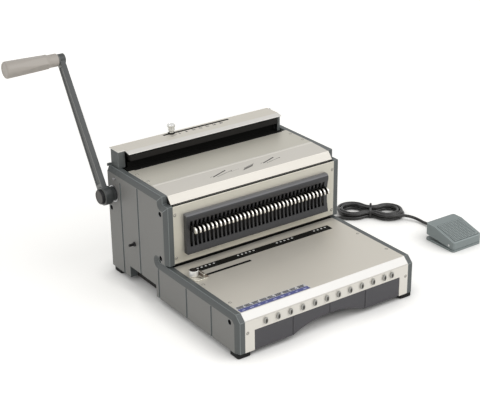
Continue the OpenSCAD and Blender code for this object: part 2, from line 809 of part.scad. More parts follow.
module handle_grip() color(grip_grey) {
    r_end = grip_d / 2;
    r_near = r_end - 2;
    r_neck = r_end - 3.5;
    bore = spindle_d / 2 + fit;
    neck = 20;
    face = 2;
    translate([-arm_x0 - 2 - gap, y_grip, z_grip]) rotate([0, -90, 0]) rotate_extrude() polygon([
        [bore, 0], [r_neck - 1, 0], [r_neck, 1], [r_neck, neck - 2], [r_near, neck],
        [r_end, grip_len - 8], [r_end, grip_len - 3], [r_end - 3, grip_len], [0, grip_len],
        [0, grip_len - face], [bore, grip_len - face]]);
}

module closer_slider() color(black) {
    translate([stop_rest, y_stop, 0]) {
        box([-8, -3.5, jaw_top + 1.5], [8, 3.5, z_plate - sheet_t - gap]);
        rod_z(jaw_top + 1.5, z_plate + 2, stop_slot_w - 0.4, 0, 0);
        rod_z(z_plate + gap, z_plate + 2, 13, 0, 0);
        rod_z(z_plate + 2, z_plate + 11, stud_d, 0, 0);
    }
}

// Turned knob with a blind bore for its stud
module turned_knob(d, h) difference() {
    rotate_extrude() polygon([
        [0, 0], [d * 0.3, 0], [d * 0.3, h * 0.25], [d * 0.44, h * 0.32], [d * 0.44, h * 0.72],
        [d * 0.5, h * 0.76], [d * 0.5, h * 0.96], [d * 0.46, h], [0, h]]);
    translate([0, 0, -over]) cylinder(d = stud_d + 2 * fit, h = 9.5 + over);
}

module closer_knob() color(pale) translate([stop_rest, y_stop, z_plate + 2 + gap]) turned_knob(15, 16);

// Margin guide
module margin_guide() color(steel) {
    low = z_table + gap;
    top = low + guide_base;
    rod_z(z_table - 6, top, guide_slot_w - 0.4, guide_x, y_guide);
    rod_z(z_table - 6, z_table - sheet_t - gap, 12, guide_x, y_guide);
    translate([guide_knob_x + 5, y_guide + 1, low])
        linear_extrude(guide_base) round_rect(guide_w, guide_w, 6);
    // Fence against which the sheets lie
    translate([guide_knob_x + 8.2, y_guide - 12, low]) cube([guide_wall, 20, guide_wall_h]);
    rod_z(top, top + drum_stud, stud_d, guide_knob_x, guide_knob_y);
}

module margin_knob() color(pale) translate([guide_knob_x, guide_knob_y, z_table + guide_base + 2 * gap]) {
    r = drum_d / 2;
    difference() {
        rotate_extrude() polygon([
            [0, 0], [r - 0.5, 0], [r, 0.5], [r, drum_h - 0.5], [r - 0.5, drum_h], [r - 1.5, drum_h],
            [r - 1.5, drum_h - 1.2], [0, drum_h - 1.2]]);
        translate([0, 0, -over]) cylinder(d = stud_d + 2 * fit, h = drum_stud + 0.5 + over);
    }
}

// Punch
function punch_x(i) = (i - (punch_count - 1) / 2) * pitch;
function pin_x(i) =
    i < pin_count - 1 ? pin_x0 + i * pin_pitch : pin_x0 + (i - 1) * pin_pitch + last_pin_step;

module punch_row(w, z0, z1)
    for (i = [0 : punch_count - 1])
        translate([punch_x(i) - w / 2, y_pin - w / 2, z0]) cube([w, w, z1 - z0]);

module die_block() color(black) difference() {
    union() {
        box([-x_frame, die_y0, z_table - die_t], [x_frame, die_y1, z_table]);
        box([-x_frame, die_y0, z_pin - 7], [x_frame, die_y0 + skirt_t, z_table - die_t]);
        box([-x_frame, die_y1, z_table - die_t], [x_frame, die_y1 + stop_t, z_lip + guide_t]);
    }
    punch_row(punch_hole, z_table - die_t - over, z_table + over);
    for (i = [0 : pin_count - 1])
        rod_y(die_y0 - over, die_y0 + skirt_t + over, pin_rod_d + 2 * fit, pin_x(i), z_pin);
}

module punch_guide() color(black) {
    difference() {
        box([-x_frame, y_face + sheet_t, z_lip], [x_frame, die_y1, z_lip + guide_t]);
        punch_row(punch_hole, z_lip - over, z_lip + guide_t + over);
    }
    both_sides() rod_z(z_lip + guide_t, ram_z + ram_h + 6, post_d, post_x, y_pin);
}

module punch_ram() color(steel) difference() {
    reach = drive_small + punch_stroke + 1.5;
    union() {
        box([-ram_x, y_pin - ram_d / 2, ram_z], [ram_x, y_pin + ram_d / 2, ram_z + ram_h]);
        punch_row(punch_w, punch_tip, ram_z);
        both_sides() along_x(drive_cam_x - yoke_t / 2, drive_cam_x + yoke_t / 2) difference() {
            translate([y_pin - ram_d / 2, ram_z])
                square([y_drive + reach + 6 - y_pin + ram_d / 2, z_drive + reach + nose_h + 8 - ram_z]);
            translate([y_drive, z_drive]) yoke_window(drive_small, punch_stroke, reach, reach);
        }
    }
    both_sides() rod_z(ram_z - over, ram_z + ram_h + over, post_d + 2 * fit, post_x, y_pin);
}

module drive_shaft() color(steel) {
    rod_x(-x_in + 1, x_frame - 10, drive_d, y_drive, z_drive);
    both_sides() cam(drive_cam_x, drive_small, punch_stroke, drive_angle, y_drive, z_drive);
}

module gearbox() color(dark_grey) difference() {
    box([box_x0, box_y0, box_z0], [x_frame, box_y1, box_z1]);
    rod_x(box_x0 - over, x_frame - 9, drive_d + 2 * fit, y_drive, z_drive);
}

module motor() color(steel) {
    rod_y(box_y1, box_y1 + motor_len, motor_d, motor_x, motor_z);
    rod_y(box_y1 + motor_len, box_y1 + motor_len + 5, motor_d - 18, motor_x, motor_z);
}

module control_board() color([0.16, 0.38, 0.22]) {
    board = [90, 80, 1.6];
    lift = 4;
    tower = [62, 20, 36];
    translate([-x_frame + 20, y_rear - 125, z_floor]) {
        translate([0, 0, lift]) cube(board);
        for (x = [6, board[0] - 6], y = [6, board[1] - 6]) translate([x, y, 0]) cylinder(d = 5, h = lift);
        translate([10, 12, lift + board[2]]) cube([34, 30, 16]);
        for (y = [tower[1], tower[2]]) translate([tower[0], y, lift + board[2]]) cylinder(d = 12, h = 14);
    }
}

// One pull pin: a turned knob on a rod that runs back to the die block
module pull_pin(i) color(grip_grey) {
    head = 5.5;
    r = pin_head_d / 2;
    rod_y(y_front - gap, die_y0 + skirt_t + 2, pin_rod_d, pin_x(i), z_pin);
    translate([pin_x(i), y_front - gap, z_pin]) rotate([90, 0, 0]) rotate_extrude() polygon([
        [0, 0], [r * 0.66, 0], [r * 0.66, 2], [r, 3], [r, head - 1], [r - 1, head], [r * 0.5, head],
        [r * 0.42, head - 1], [0, head - 1]]);
}

// Chip drawer
module chip_drawer() color(rack_grey) {
    arch_r = (arch_half * arch_half + arch_rise * arch_rise) / (2 * arch_rise);
    z_tray = z_floor + gap;
    tray_top = z_drawer + drawer_h - 2;
    y_tray = y_front + drawer_t;
    difference() {
        box([-drawer_w / 2, y_front, z_drawer], [drawer_w / 2, y_tray, z_drawer + drawer_h]);
        rod_y(y_front - over, y_tray + over, 2 * arch_r, 0, z_drawer + arch_rise - arch_r);
        for (x = [-drawer_groove, 0, drawer_groove])
            box([x - 0.8, y_front - over, z_drawer - over],
                [x + 0.8, y_front + 1.2, z_drawer + drawer_h + over]);
    }
    difference() {
        box([-tray_x, y_tray, z_tray], [tray_x, tray_back, tray_top]);
        box([-tray_x + tray_wall, y_front + finger_d + tray_wall, z_tray + tray_wall],
            [tray_x - tray_wall, tray_back - tray_wall, tray_top + over]);
        box([-tray_x + tray_wall, y_tray - over, z_tray - over],
            [tray_x - tray_wall, y_front + finger_d, tray_top - tray_wall]);
    }
}

// Electrics
module inlet_module() color(black) {
    pin = [2, 10, 4];
    difference() {
        union() {
            box([inlet_x - inlet_w / 2, y_rear, inlet_z - inlet_h / 2],
                [inlet_x + inlet_w / 2, y_rear + inlet_flange, inlet_z + inlet_h / 2]);
            box([inlet_x - inlet_w / 2 + 2.1, y_rear - 18, inlet_z - inlet_h / 2 + 2.1],
                [inlet_x + inlet_w / 2 - 2.1, y_rear, inlet_z + inlet_h / 2 - 2.1]);
        }
        box([socket_x - socket_w / 2, y_rear + inlet_flange - socket_deep, inlet_z - socket_h / 2],
            [socket_x + socket_w / 2, y_rear + inlet_flange + over, inlet_z + socket_h / 2]);
        box([rocker_x - rocker_r - 0.4, y_rear - 12, inlet_z - rocker_len / 2 - gap],
            [rocker_x + rocker_r + 0.4, y_rear + inlet_flange + over, inlet_z + rocker_len / 2 + gap]);
    }
    for (p = [[-7, -2], [0, 2], [7, -2]])
        translate([socket_x + p[0], y_rear + inlet_flange - socket_deep, inlet_z + p[1]])
            translate([-pin[0] / 2, 0, -pin[2] / 2]) cube(pin);
}

module switch_rocker() color(black)
    translate([rocker_x, y_rear - 2.5, inlet_z - rocker_len / 2]) rotate([0, 0, -rocker_tilt])
        linear_extrude(rocker_len) intersection() {
            circle(rocker_r);
            polygon([
                [-rocker_r, -rocker_r], [rocker_r, -rocker_r], [rocker_r, 6.5], [0, 4], [-rocker_r, 6.5]]);
        }

module cord_glands() color(black) {
    translate([gland_x, y_rear, gland_z]) rotate([-90, 0, 0]) rotate_extrude() polygon([
        [0, -4], [5.5, -4], [5.5, 0], [8, 0], [8, 3], [6.5, 3],
        [cord_r + 1.2, gland_len + 3], [0, gland_len + 3]]);
    translate([pedal_gland_x, pedal_y1, pedal_gland_z]) rotate([-90, 0, 0]) rotate_extrude() polygon([
        [0, -8], [4.5, -8], [4.5, 0], [5.5, 0], [5.5, 2],
        [cord_r + 1, pedal_gland_len], [0, pedal_gland_len]]);
}

// Foot switch
module pedal_base() color(pedal_grey) {
    ear = 4;
    ear_x = pedal_w / 2 - pedal_wall - 1 - ear;
    difference() {
        union() {
            translate([pedal_x, pedal_y, 0])
                linear_extrude(pedal_base_h) round_rect(pedal_w, pedal_l, pedal_r);
            for (s = [-1, 1])
                translate([pedal_x + s * (ear_x + ear / 2) - ear / 2, pivot_y - 5, pedal_base_h])
                    cube([ear, 10, pivot_z - pedal_base_h + 4]);
            box([pedal_gland_x - 9, pedal_y1 - 15, pedal_base_h], [pedal_gland_x + 9, pedal_y1 - 4, 15]);
        }
        rod_x(pedal_x - pedal_w, pedal_x + pedal_w, pivot_d, pivot_y, pivot_z);
        rod_y(pedal_y1 - 8, pedal_y1 + over, 9.04, pedal_gland_x, pedal_gland_z);
    }
}

module treadle_side(inset) polygon([
    [pedal_y0 + inset, treadle_front_z - (inset > 0 ? over : 0)],
    [pedal_y1 - inset, treadle_rear_z - (inset > 0 ? over : 0)],
    [pedal_y1 - inset, pedal_rear_h - inset],
    [pedal_y1 - 22, pedal_rear_h - inset],
    [pedal_y0 + inset, pedal_front_h - inset]]);

module pedal_treadle() color(pedal_grey) difference() {
    intersection() {
        translate([pedal_x, pedal_y, 0])
            linear_extrude(2 * pedal_rear_h) round_rect(pedal_w, pedal_l, pedal_r);
        along_x(pedal_x - pedal_w, pedal_x + pedal_w) treadle_side(0);
    }
    along_x(pedal_x - pedal_w / 2 + pedal_wall, pedal_x + pedal_w / 2 - pedal_wall)
        treadle_side(pedal_wall);
    rod_x(pedal_x - pedal_w, pedal_x + pedal_w, pivot_d + 2 * fit, pivot_y, pivot_z);
    box([pedal_gland_x - 10, pedal_y1 - pedal_wall - over, 0], [pedal_gland_x + 10, pedal_y1 + over, 22]);
}

module pedal_pin() color(pale)
    rod_x(pedal_x - pedal_w / 2 - 0.4, pedal_x + pedal_w / 2 + 0.4, pivot_d, pivot_y, pivot_z);

// Lead. A ring of points stands square to the path at each of its points.
function ring(p, i, r, n) =
    let (
        ahead = p[min(i + 1, len(p) - 1)] - p[max(i - 1, 0)],
        along = unit(i == 0 ? p[1] - p[0] : i == len(p) - 1 ? p[i] - p[i - 1] : ahead),
        side = unit(cross([0, 0, 1], along)),
        up = cross(along, side))
    [for (k = [0 : n - 1]) p[i] + r * (cos(360 * k / n) * up + sin(360 * k / n) * side)];

module tube(p, r, n) {
    m = len(p);
    points = [for (i = [0 : m - 1]) each ring(p, i, r, n)];
    walls = [
        for (i = [0 : m - 2], k = [0 : n - 1], half = [0, 1])
            let (a = i * n + k, b = i * n + (k + 1) % n)
            half == 0 ? [a, b, a + n] : [b, b + n, a + n]];
    first = [for (k = [1 : n - 2]) [0, k + 1, k]];
    last = [for (k = [1 : n - 2]) (m - 1) * n * [1, 1, 1] + [0, k, k + 1]];
    polyhedron(points, concat(walls, first, last));
}

// Middle line of the hank's innermost loop: two round lobes that run into a hollow waist.
// One quarter of it runs from the tip of a lobe to the waist; the others are its mirror images.
function quarter(f) =
    let (turn = f * (2 * lobe_turn - 90), back = 2 * lobe_turn + 180 - turn)
    turn < lobe_turn ? [lobe_x + lobe_r * cos(turn), lobe_r * sin(turn)]
    : [waist_r * cos(back), hank_waist + waist_r + waist_r * sin(back)];
function loop_point(a) =
    let (b = (a % 360 + 360) % 360)
    b < 90 ? quarter(b / 90)
    : b < 180 ? let (q = quarter((180 - b) / 90)) [-q[0], q[1]]
    : b < 270 ? -quarter((b - 180) / 90)
    : let (q = quarter((360 - b) / 90)) [q[0], -q[1]];
function loop_normal(a) = let (d = unit(loop_point(a + 1) - loop_point(a - 1))) [d[1], -d[0]];
// The turns spiral in on the lower layer, climb in the middle half turn and spiral out on the upper one
function hank_local(u) =
    let (
        mid = hank_turns / 2,
        a = hank_start + 360 * u,
        climb = min(max((u - mid) / climb_turns + 0.5, 0), 1),
        flat = loop_point(a) + hank_step * abs(u - mid) * loop_normal(a))
    [flat[0], flat[1], hank_z + hank_layer * (1 - cos(180 * climb)) / 2];
function hank_place(q) = [
    hank_mid[0] + q[0] * cos(hank_turn) - q[1] * sin(hank_turn),
    hank_mid[1] + q[0] * sin(hank_turn) + q[1] * cos(hank_turn), q[2]];
hank_count = ceil(hank_turns * hank_rings);
hank_wound = [for (i = [0 : hank_count]) hank_place(hank_local(hank_turns * i / hank_count))];
function hank_heading(a) =
    let (n = loop_normal(a)) [
        -n[1] * cos(hank_turn) - n[0] * sin(hank_turn), n[0] * cos(hank_turn) - n[1] * sin(hank_turn), 0];
head_in = -hank_heading(hank_start);
head_out = hank_heading(hank_start + 360 * hank_turns);
hank_in = hank_wound[0] + cord_d * head_in;
hank_out = hank_wound[hank_count] + cord_d * head_out;
hank_path = concat([hank_in], hank_wound, [hank_out]);

// Least gap between strands of the hank that are not neighbours along it, measured on its points
function segment_distance(p, a, b) =
    let (d = b - a, t = min(max((p - a) * d / (d * d), 0), 1)) norm(p - a - t * d);
hank_gap = min([
    for (i = [0 : hank_count - 12], j = [i + 12 : hank_count - 1])
        segment_distance(hank_wound[i], hank_wound[j], hank_wound[j + 1])]) - cord_d;
echo(hank_least_gap = hank_gap);

function path_length(p) =
    len(p) < 2 ? 0 : norm(p[1] - p[0]) + path_length([for (i = [1 : len(p) - 1]) p[i]]);

function from_rear(p) = p + [0, y_rear, 0];
gland_tip = [gland_x, y_rear + gland_len + 3, gland_z];
machine_route = concat(
    [gland_tip], [for (p = lead_to_hank) from_rear(p)],
    [hank_in + cord_d * head_in, hank_in]);
pedal_tip = [pedal_gland_x, pedal_y1 + pedal_gland_len, pedal_gland_z];
pedal_route = concat(
    [hank_out, hank_out + cord_d * head_out],
    [for (p = lead_to_pedal) from_rear(p)], [pedal_tip]);
echo(cord_length = path_length(machine_route) + path_length(hank_path) + path_length(pedal_route));

module cord_lead_machine() color(black) tube(machine_route, cord_r, lead_sides);
module cord_lead_pedal() color(black) tube(pedal_route, cord_r, lead_sides);
module cord_hank() color(black) tube(hank_path, cord_r, 6);

module cord_tie() color(black) {
    half = hank_waist + hank_step * hank_turns / 2 + cord_r + 0.4;
    low = hank_z - cord_r - 0.15;
    high = hank_z + hank_layer + cord_r + 0.3;
    translate([hank_mid[0], hank_mid[1], 0]) rotate([0, 0, hank_turn])
        along_x(-tie_w / 2, tie_w / 2) difference() {
            translate([-half - tie_t, low - tie_t]) square([2 * (half + tie_t), high - low + 2 * tie_t]);
            translate([-half, low]) square([2 * half, high - low]);
        }
}

left_side_panel();
right_side_panel();
side_frames();
base_plate();
rubber_feet();
table_plate();
front_panel();
ruler_strip();
face_plate();
hook_panel();
hook_bar();
wire_hooks();
top_cover();
rear_cover();
closer_bed();
closer_plate();
closer_end_caps();
die_block();
punch_guide();
shaft_bushes();
gearbox();
motor();
control_board();
inlet_module();
cord_glands();
side_peg();
stop_peg();
cover_screws();
drive_shaft();
punch_ram();
handle_arm();
hub_cap();
handle_shaft();
handle_grip();
closer_jaw();
closer_slider();
closer_knob();
margin_guide();
margin_knob();
chip_drawer();
switch_rocker();
pedal_base();
pedal_treadle();
pedal_pin();
cord_lead_machine();
cord_hank();
cord_tie();
cord_lead_pedal();
for (i = [0 : pin_count - 1])
    pull_pin(i);
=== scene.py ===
import math

import bmesh
import bpy
from mathutils import Matrix, Vector


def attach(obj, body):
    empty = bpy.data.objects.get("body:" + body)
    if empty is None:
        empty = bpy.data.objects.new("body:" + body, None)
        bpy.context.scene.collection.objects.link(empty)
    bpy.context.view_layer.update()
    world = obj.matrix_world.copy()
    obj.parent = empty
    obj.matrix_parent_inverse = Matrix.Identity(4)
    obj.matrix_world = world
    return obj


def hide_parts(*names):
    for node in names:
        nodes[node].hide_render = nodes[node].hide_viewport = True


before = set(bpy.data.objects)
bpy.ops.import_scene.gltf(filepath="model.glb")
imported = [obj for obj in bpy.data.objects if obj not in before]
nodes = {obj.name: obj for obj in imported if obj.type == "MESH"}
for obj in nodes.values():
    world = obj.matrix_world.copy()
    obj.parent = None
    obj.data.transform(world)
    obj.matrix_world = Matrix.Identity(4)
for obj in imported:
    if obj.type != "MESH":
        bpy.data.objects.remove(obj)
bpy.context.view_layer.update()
scene = bpy.context.scene
MM = 0.001


def vec(x, y, z):
    """A point given in millimetres."""
    return Vector((x, y, z)) * MM


# Camera, at the photograph's place
CAMERA_AT = vec(-1162.7, -1630.8, 1047.2)
CAMERA_RIGHT = (0.8203, -0.5717, -0.0135)
CAMERA_FORWARD = (0.5167, 0.7510, -0.4110)
CAMERA_LENS = 92.47
CAMERA_SENSOR = 36
CAMERA_CLIP = (0.05, 50)


def place_camera():
    camera = bpy.data.objects.new("camera", bpy.data.cameras.new("camera"))
    scene.collection.objects.link(camera)
    camera.data.sensor_width = CAMERA_SENSOR
    camera.data.lens = CAMERA_LENS
    camera.data.clip_start, camera.data.clip_end = CAMERA_CLIP
    forward = Vector(CAMERA_FORWARD).normalized()
    up = Vector(CAMERA_RIGHT).normalized().cross(forward).normalized()
    right = forward.cross(up)
    turn = Matrix((right, up, -forward)).transposed().to_4x4()
    camera.matrix_world = Matrix.Translation(CAMERA_AT) @ turn
    scene.camera = camera


place_camera()


# Lead of the foot switch: the route's points in millimetres, as in the part's source
Y_REAR = 205
CORD_D = 6
CORD_R = CORD_D / 2
HANK_MID = (357, Y_REAR - 97)
HANK_TURN = math.radians(-41)
HANK_Z = CORD_R + 0.8
HANK_STEP = CORD_D + 1.2
HANK_LAYER = CORD_D + 0.6
HANK_WAIST = CORD_R
LOBE_X = 36
LOBE_R = 17.5
WAIST_R = (LOBE_X**2 + HANK_WAIST**2 - LOBE_R**2) / (2 * (LOBE_R - HANK_WAIST))
LOBE_TURN = math.degrees(math.atan2(HANK_WAIST + WAIST_R, -LOBE_X))
HANK_START = 225.5
HANK_TURNS = 4 + 99 / 360
CLIMB_TURNS = 0.5
HANK_STEPS = 206
SPAN_STEPS = 3
LEAD_SIDES = 16
LEAD_SHARP = 50
GLAND_TIP = (65, Y_REAR + 28, 20)
PEDAL_TIP = (410, Y_REAR - 232.5, 7)
LEAD_TO_HANK = [
    (65, 34, 20), (67.5, 47.5, 19), (75, 59.5, 17), (86, 67.5, 14), (99.5, 70.5, 10.5), (113.5, 68.5, 7.5),
    (125, 61.5, 5), (136, 52, 3.5), (147.5, 42, 3), (159, 32, 3), (170, 22.5, 3), (181.5, 12.5, 3),
    (193, 2.5, 3), (204, -7.5, 3), (215.5, -17, 3), (227, -27, 3), (238, -37, 3), (249.5, -46.5, 3),
    (261, -56.5, 3), (272, -66.5, 3.4), (283, -76, 3.8),
]
LEAD_TO_PEDAL = [
    (392.5, -159.5, 9.5), (400.5, -166.5, 8), (406, -175.5, 6.5), (409, -186, 5), (410, -198, 4),
    (410, -210, 5), (410, -218, 6.5), (410, -225, 7),
]


def quarter(share):
    """A point on the first quarter of the loop: the lobe's arc, then the waist's arc."""
    t = share * (2 * LOBE_TURN - 90)
    if t < LOBE_TURN:
        a = math.radians(t)
        return LOBE_X + LOBE_R * math.cos(a), LOBE_R * math.sin(a)
    a = math.radians(2 * LOBE_TURN + 180 - t)
    return WAIST_R * math.cos(a), HANK_WAIST + WAIST_R + WAIST_R * math.sin(a)


def loop_point(angle):
    """A point on the flat figure of eight, which is the same in all four quarters."""
    b = angle % 360
    if b < 90:
        return quarter(b / 90)
    if b < 180:
        x, y = quarter((180 - b) / 90)
        return -x, y
    if b < 270:
        x, y = quarter((b - 180) / 90)
        return -x, -y
    x, y = quarter((360 - b) / 90)
    return x, -y


def loop_normal(angle):
    """The outward direction across the loop."""
    x0, y0 = loop_point(angle - 1)
    x1, y1 = loop_point(angle + 1)
    n = math.hypot(x1 - x0, y1 - y0)
    return (y1 - y0) / n, -(x1 - x0) / n


def hank_place(x, y, z):
    """A point of the hank, turned and moved to where it lies."""
    c, s = math.cos(HANK_TURN), math.sin(HANK_TURN)
    return HANK_MID[0] + x * c - y * s, HANK_MID[1] + x * s + y * c, z


def hank_point(u):
    """A point of the wound lead after u turns: it spirals in, climbs a layer and spirals out."""
    mid = HANK_TURNS / 2
    angle = HANK_START + 360 * u
    climb = min(max((u - mid) / CLIMB_TURNS + 0.5, 0), 1)
    x, y = loop_point(angle)
    nx, ny = loop_normal(angle)
    away = HANK_STEP * abs(u - mid)
    lift = HANK_LAYER * (1 - math.cos(math.pi * climb)) / 2
    return hank_place(x + away * nx, y + away * ny, HANK_Z + lift)


def hank_heading(angle):
    """The direction in which the wound lead runs."""
    nx, ny = loop_normal(angle)
    c, s = math.cos(HANK_TURN), math.sin(HANK_TURN)
    return Vector((-ny * c - nx * s, nx * c - ny * s, 0))


def from_rear(points):
    return [Vector((x, y + Y_REAR, z)) for x, y, z in points]


def cord_route():
    """Every point of the lead, from the machine's gland to the foot switch."""
    wound = [Vector(hank_point(HANK_TURNS * i / HANK_STEPS)) for i in range(HANK_STEPS + 1)]
    head_in = -hank_heading(HANK_START)
    head_out = hank_heading(HANK_START + 360 * HANK_TURNS)
    before = [wound[0] + 2 * CORD_D * head_in, wound[0] + CORD_D * head_in]
    after = [wound[-1] + CORD_D * head_out, wound[-1] + 2 * CORD_D * head_out]
    return (
        [Vector(GLAND_TIP)] + from_rear(LEAD_TO_HANK) + before + wound + after
        + from_rear(LEAD_TO_PEDAL) + [Vector(PEDAL_TIP)]
    )


def smooth_path(points, per_span):
    """A finer path through the points, by Catmull-Rom."""
    out = []
    for i in range(len(points) - 1):
        p0 = points[max(i - 1, 0)]
        p1, p2 = points[i], points[i + 1]
        p3 = points[min(i + 2, len(points) - 1)]
        for k in range(per_span):
            t = k / per_span
            out.append(0.5 * (
                2 * p1 + (p2 - p0) * t + (2 * p0 - 5 * p1 + 4 * p2 - p3) * t * t
                + (3 * p1 - p0 - 3 * p2 + p3) * t * t * t))
    out.append(points[-1])
    return out


def add_object(name, mesh):
    piece = bpy.data.objects.new(name, mesh)
    scene.collection.objects.link(piece)
    return piece


def smooth_object(name, bm, sharp):
    """An object of the mesh, smooth except at edges sharper than an angle in degrees."""
    bmesh.ops.recalc_face_normals(bm, faces=bm.faces)
    mesh = bpy.data.meshes.new(name)
    bm.to_mesh(mesh)
    bm.free()
    mesh.polygons.foreach_set("use_smooth", [True] * len(mesh.polygons))
    mesh.set_sharp_from_angle(angle=math.radians(sharp))
    return add_object(name, mesh)


def bridge(bm, a, b, index=0):
    """Faces between two closed rings, either of which may be a single point."""
    n = max(len(a), len(b))
    for k in range(n):
        j = (k + 1) % n
        if len(a) == 1:
            corners = (a[0], b[k], b[j])
        elif len(b) == 1:
            corners = (a[k], a[j], b[0])
        else:
            corners = (a[k], a[j], b[j], b[k])
        bm.faces.new(corners).material_index = index


def loft(bm, rings, finish=None):
    """Faces between each ring and the next. finish gives the slot of each span."""
    for i, (a, b) in enumerate(zip(rings, rings[1:])):
        bridge(bm, a, b, finish[i] if finish else 0)


def round_ring(bm, mid, side, other, radius, sides):
    """Points in a circle round a middle, in the plane of two directions."""
    angles = [2 * math.pi * k / sides for k in range(sides)]
    return [bm.verts.new((mid + radius * (math.cos(a) * side + math.sin(a) * other)) * MM) for a in angles]


def heading(path, i):
    """Direction of a path at one of its points."""
    return (path[min(i + 1, len(path) - 1)] - path[max(i - 1, 0)]).normalized()


def tube(name, path, radius, sides):
    """A closed round tube along a path, with its section carried along without twist."""
    bm = bmesh.new()
    rings = []
    side = heading(path, 0).cross(Vector((0, 0, 1))).normalized()
    for i, p in enumerate(path):
        ahead = heading(path, i)
        side = (side - ahead * side.dot(ahead)).normalized()
        rings.append(round_ring(bm, p, side, ahead.cross(side), radius, sides))
    loft(bm, rings)
    bm.faces.new(list(reversed(rings[0])))
    bm.faces.new(rings[-1])
    return smooth_object(name, bm, LEAD_SHARP)


route = smooth_path(cord_route(), SPAN_STEPS)
lead = tube("foot_switch_lead", route, CORD_R, LEAD_SIDES)
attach(lead, "machine")
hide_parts("cord_lead_machine", "cord_hank", "cord_lead_pedal")


# Finishes
def feed(tree, value, socket):
    """Links an output to an input, or gives the input a plain value."""
    if isinstance(value, bpy.types.NodeSocket):
        tree.links.new(value, socket)
    else:
        socket.default_value = value


def shader_node(tree, kind, **values):
    """A shader node with some of its inputs fed."""
    made = tree.nodes.new(kind)
    for key, value in values.items():
        feed(tree, value, made.inputs[key.replace("_", " ")])
    return made


def math_node(tree, operation, *values):
    """The result of one operation on sockets or numbers."""
    made = tree.nodes.new("ShaderNodeMath")
    made.operation = operation
    for socket, value in zip(made.inputs, values):
        feed(tree, value, socket)
    return made.outputs["Value"]


def mix_node(tree, kind, factor, a, b):
    """A mix of two numbers (FLOAT) or two colours (RGBA)."""
    made = tree.nodes.new("ShaderNodeMix")
    made.data_type = kind
    for key, value in (("Factor", factor), ("A", a), ("B", b)):
        feed(tree, value, made.inputs[key])
    return made.outputs["Result"]


def object_place(tree):
    return tree.nodes.new("ShaderNodeTexCoord").outputs["Object"]


def tinted(tree, colour, spread, drift):
    """A colour that drifts between a darker and a lighter shade."""
    dark = (*[c * (1 - spread) for c in colour], 1)
    light = (*[min(1, c * (1 + spread)) for c in colour], 1)
    return mix_node(tree, "RGBA", drift, dark, light)


def beyond(tree, place, axis, limit):
    """1 where the distance from the middle along an axis is more than a limit, else 0."""
    split = shader_node(tree, "ShaderNodeSeparateXYZ", Vector=place)
    return math_node(tree, "GREATER_THAN", math_node(tree, "ABSOLUTE", split.outputs[axis]), limit)


DRIFT_RANGE = (0.3, 0.7)
LEAST_ROUGH = 0.02
RELIEF_DEPTH = 0.0005


def surface(name, colour, rough=0.5, metal=0.0, spread=0.06, grain=900.0, stretch=(1, 1, 1), bump=0.02,
            rough_spread=0.08, blotch=6.0, specular=0.5, zones=()):
    """A finish with fine grain, slow colour drift and uneven gloss, all in object space.

    Each zone gives another colour to what lies farther out than a limit: (axis, limit, colour).
    """
    m = bpy.data.materials.new(name)
    m.use_nodes = True
    tree = m.node_tree
    place = object_place(tree)
    shape = shader_node(tree, "ShaderNodeMapping", Vector=place, Scale=stretch)
    fine = shader_node(tree, "ShaderNodeTexNoise", Vector=shape.outputs["Vector"], Scale=grain, Detail=3)
    slow = shader_node(tree, "ShaderNodeTexNoise", Vector=place, Scale=blotch, Detail=4)
    drift = mix_node(tree, "FLOAT", 0.5, fine.outputs["Fac"], slow.outputs["Fac"])
    shade = tinted(tree, colour, spread, drift)
    for axis, limit, other in zones:
        outside = beyond(tree, place, axis, limit)
        shade = mix_node(tree, "RGBA", outside, shade, tinted(tree, other, spread, drift))
    gloss = shader_node(
        tree, "ShaderNodeMapRange", Value=drift, From_Min=DRIFT_RANGE[0], From_Max=DRIFT_RANGE[1],
        To_Min=max(LEAST_ROUGH, rough - rough_spread), To_Max=min(1, rough + rough_spread))
    relief = shader_node(
        tree, "ShaderNodeBump", Strength=bump, Distance=RELIEF_DEPTH, Height=fine.outputs["Fac"])
    shader = tree.nodes["Principled BSDF"]
    for key, value in (
            ("Base Color", shade), ("Roughness", gloss.outputs["Result"]),
            ("Normal", relief.outputs["Normal"]), ("Metallic", metal), ("Specular IOR Level", specular)):
        feed(tree, value, shader.inputs[key])
    return m


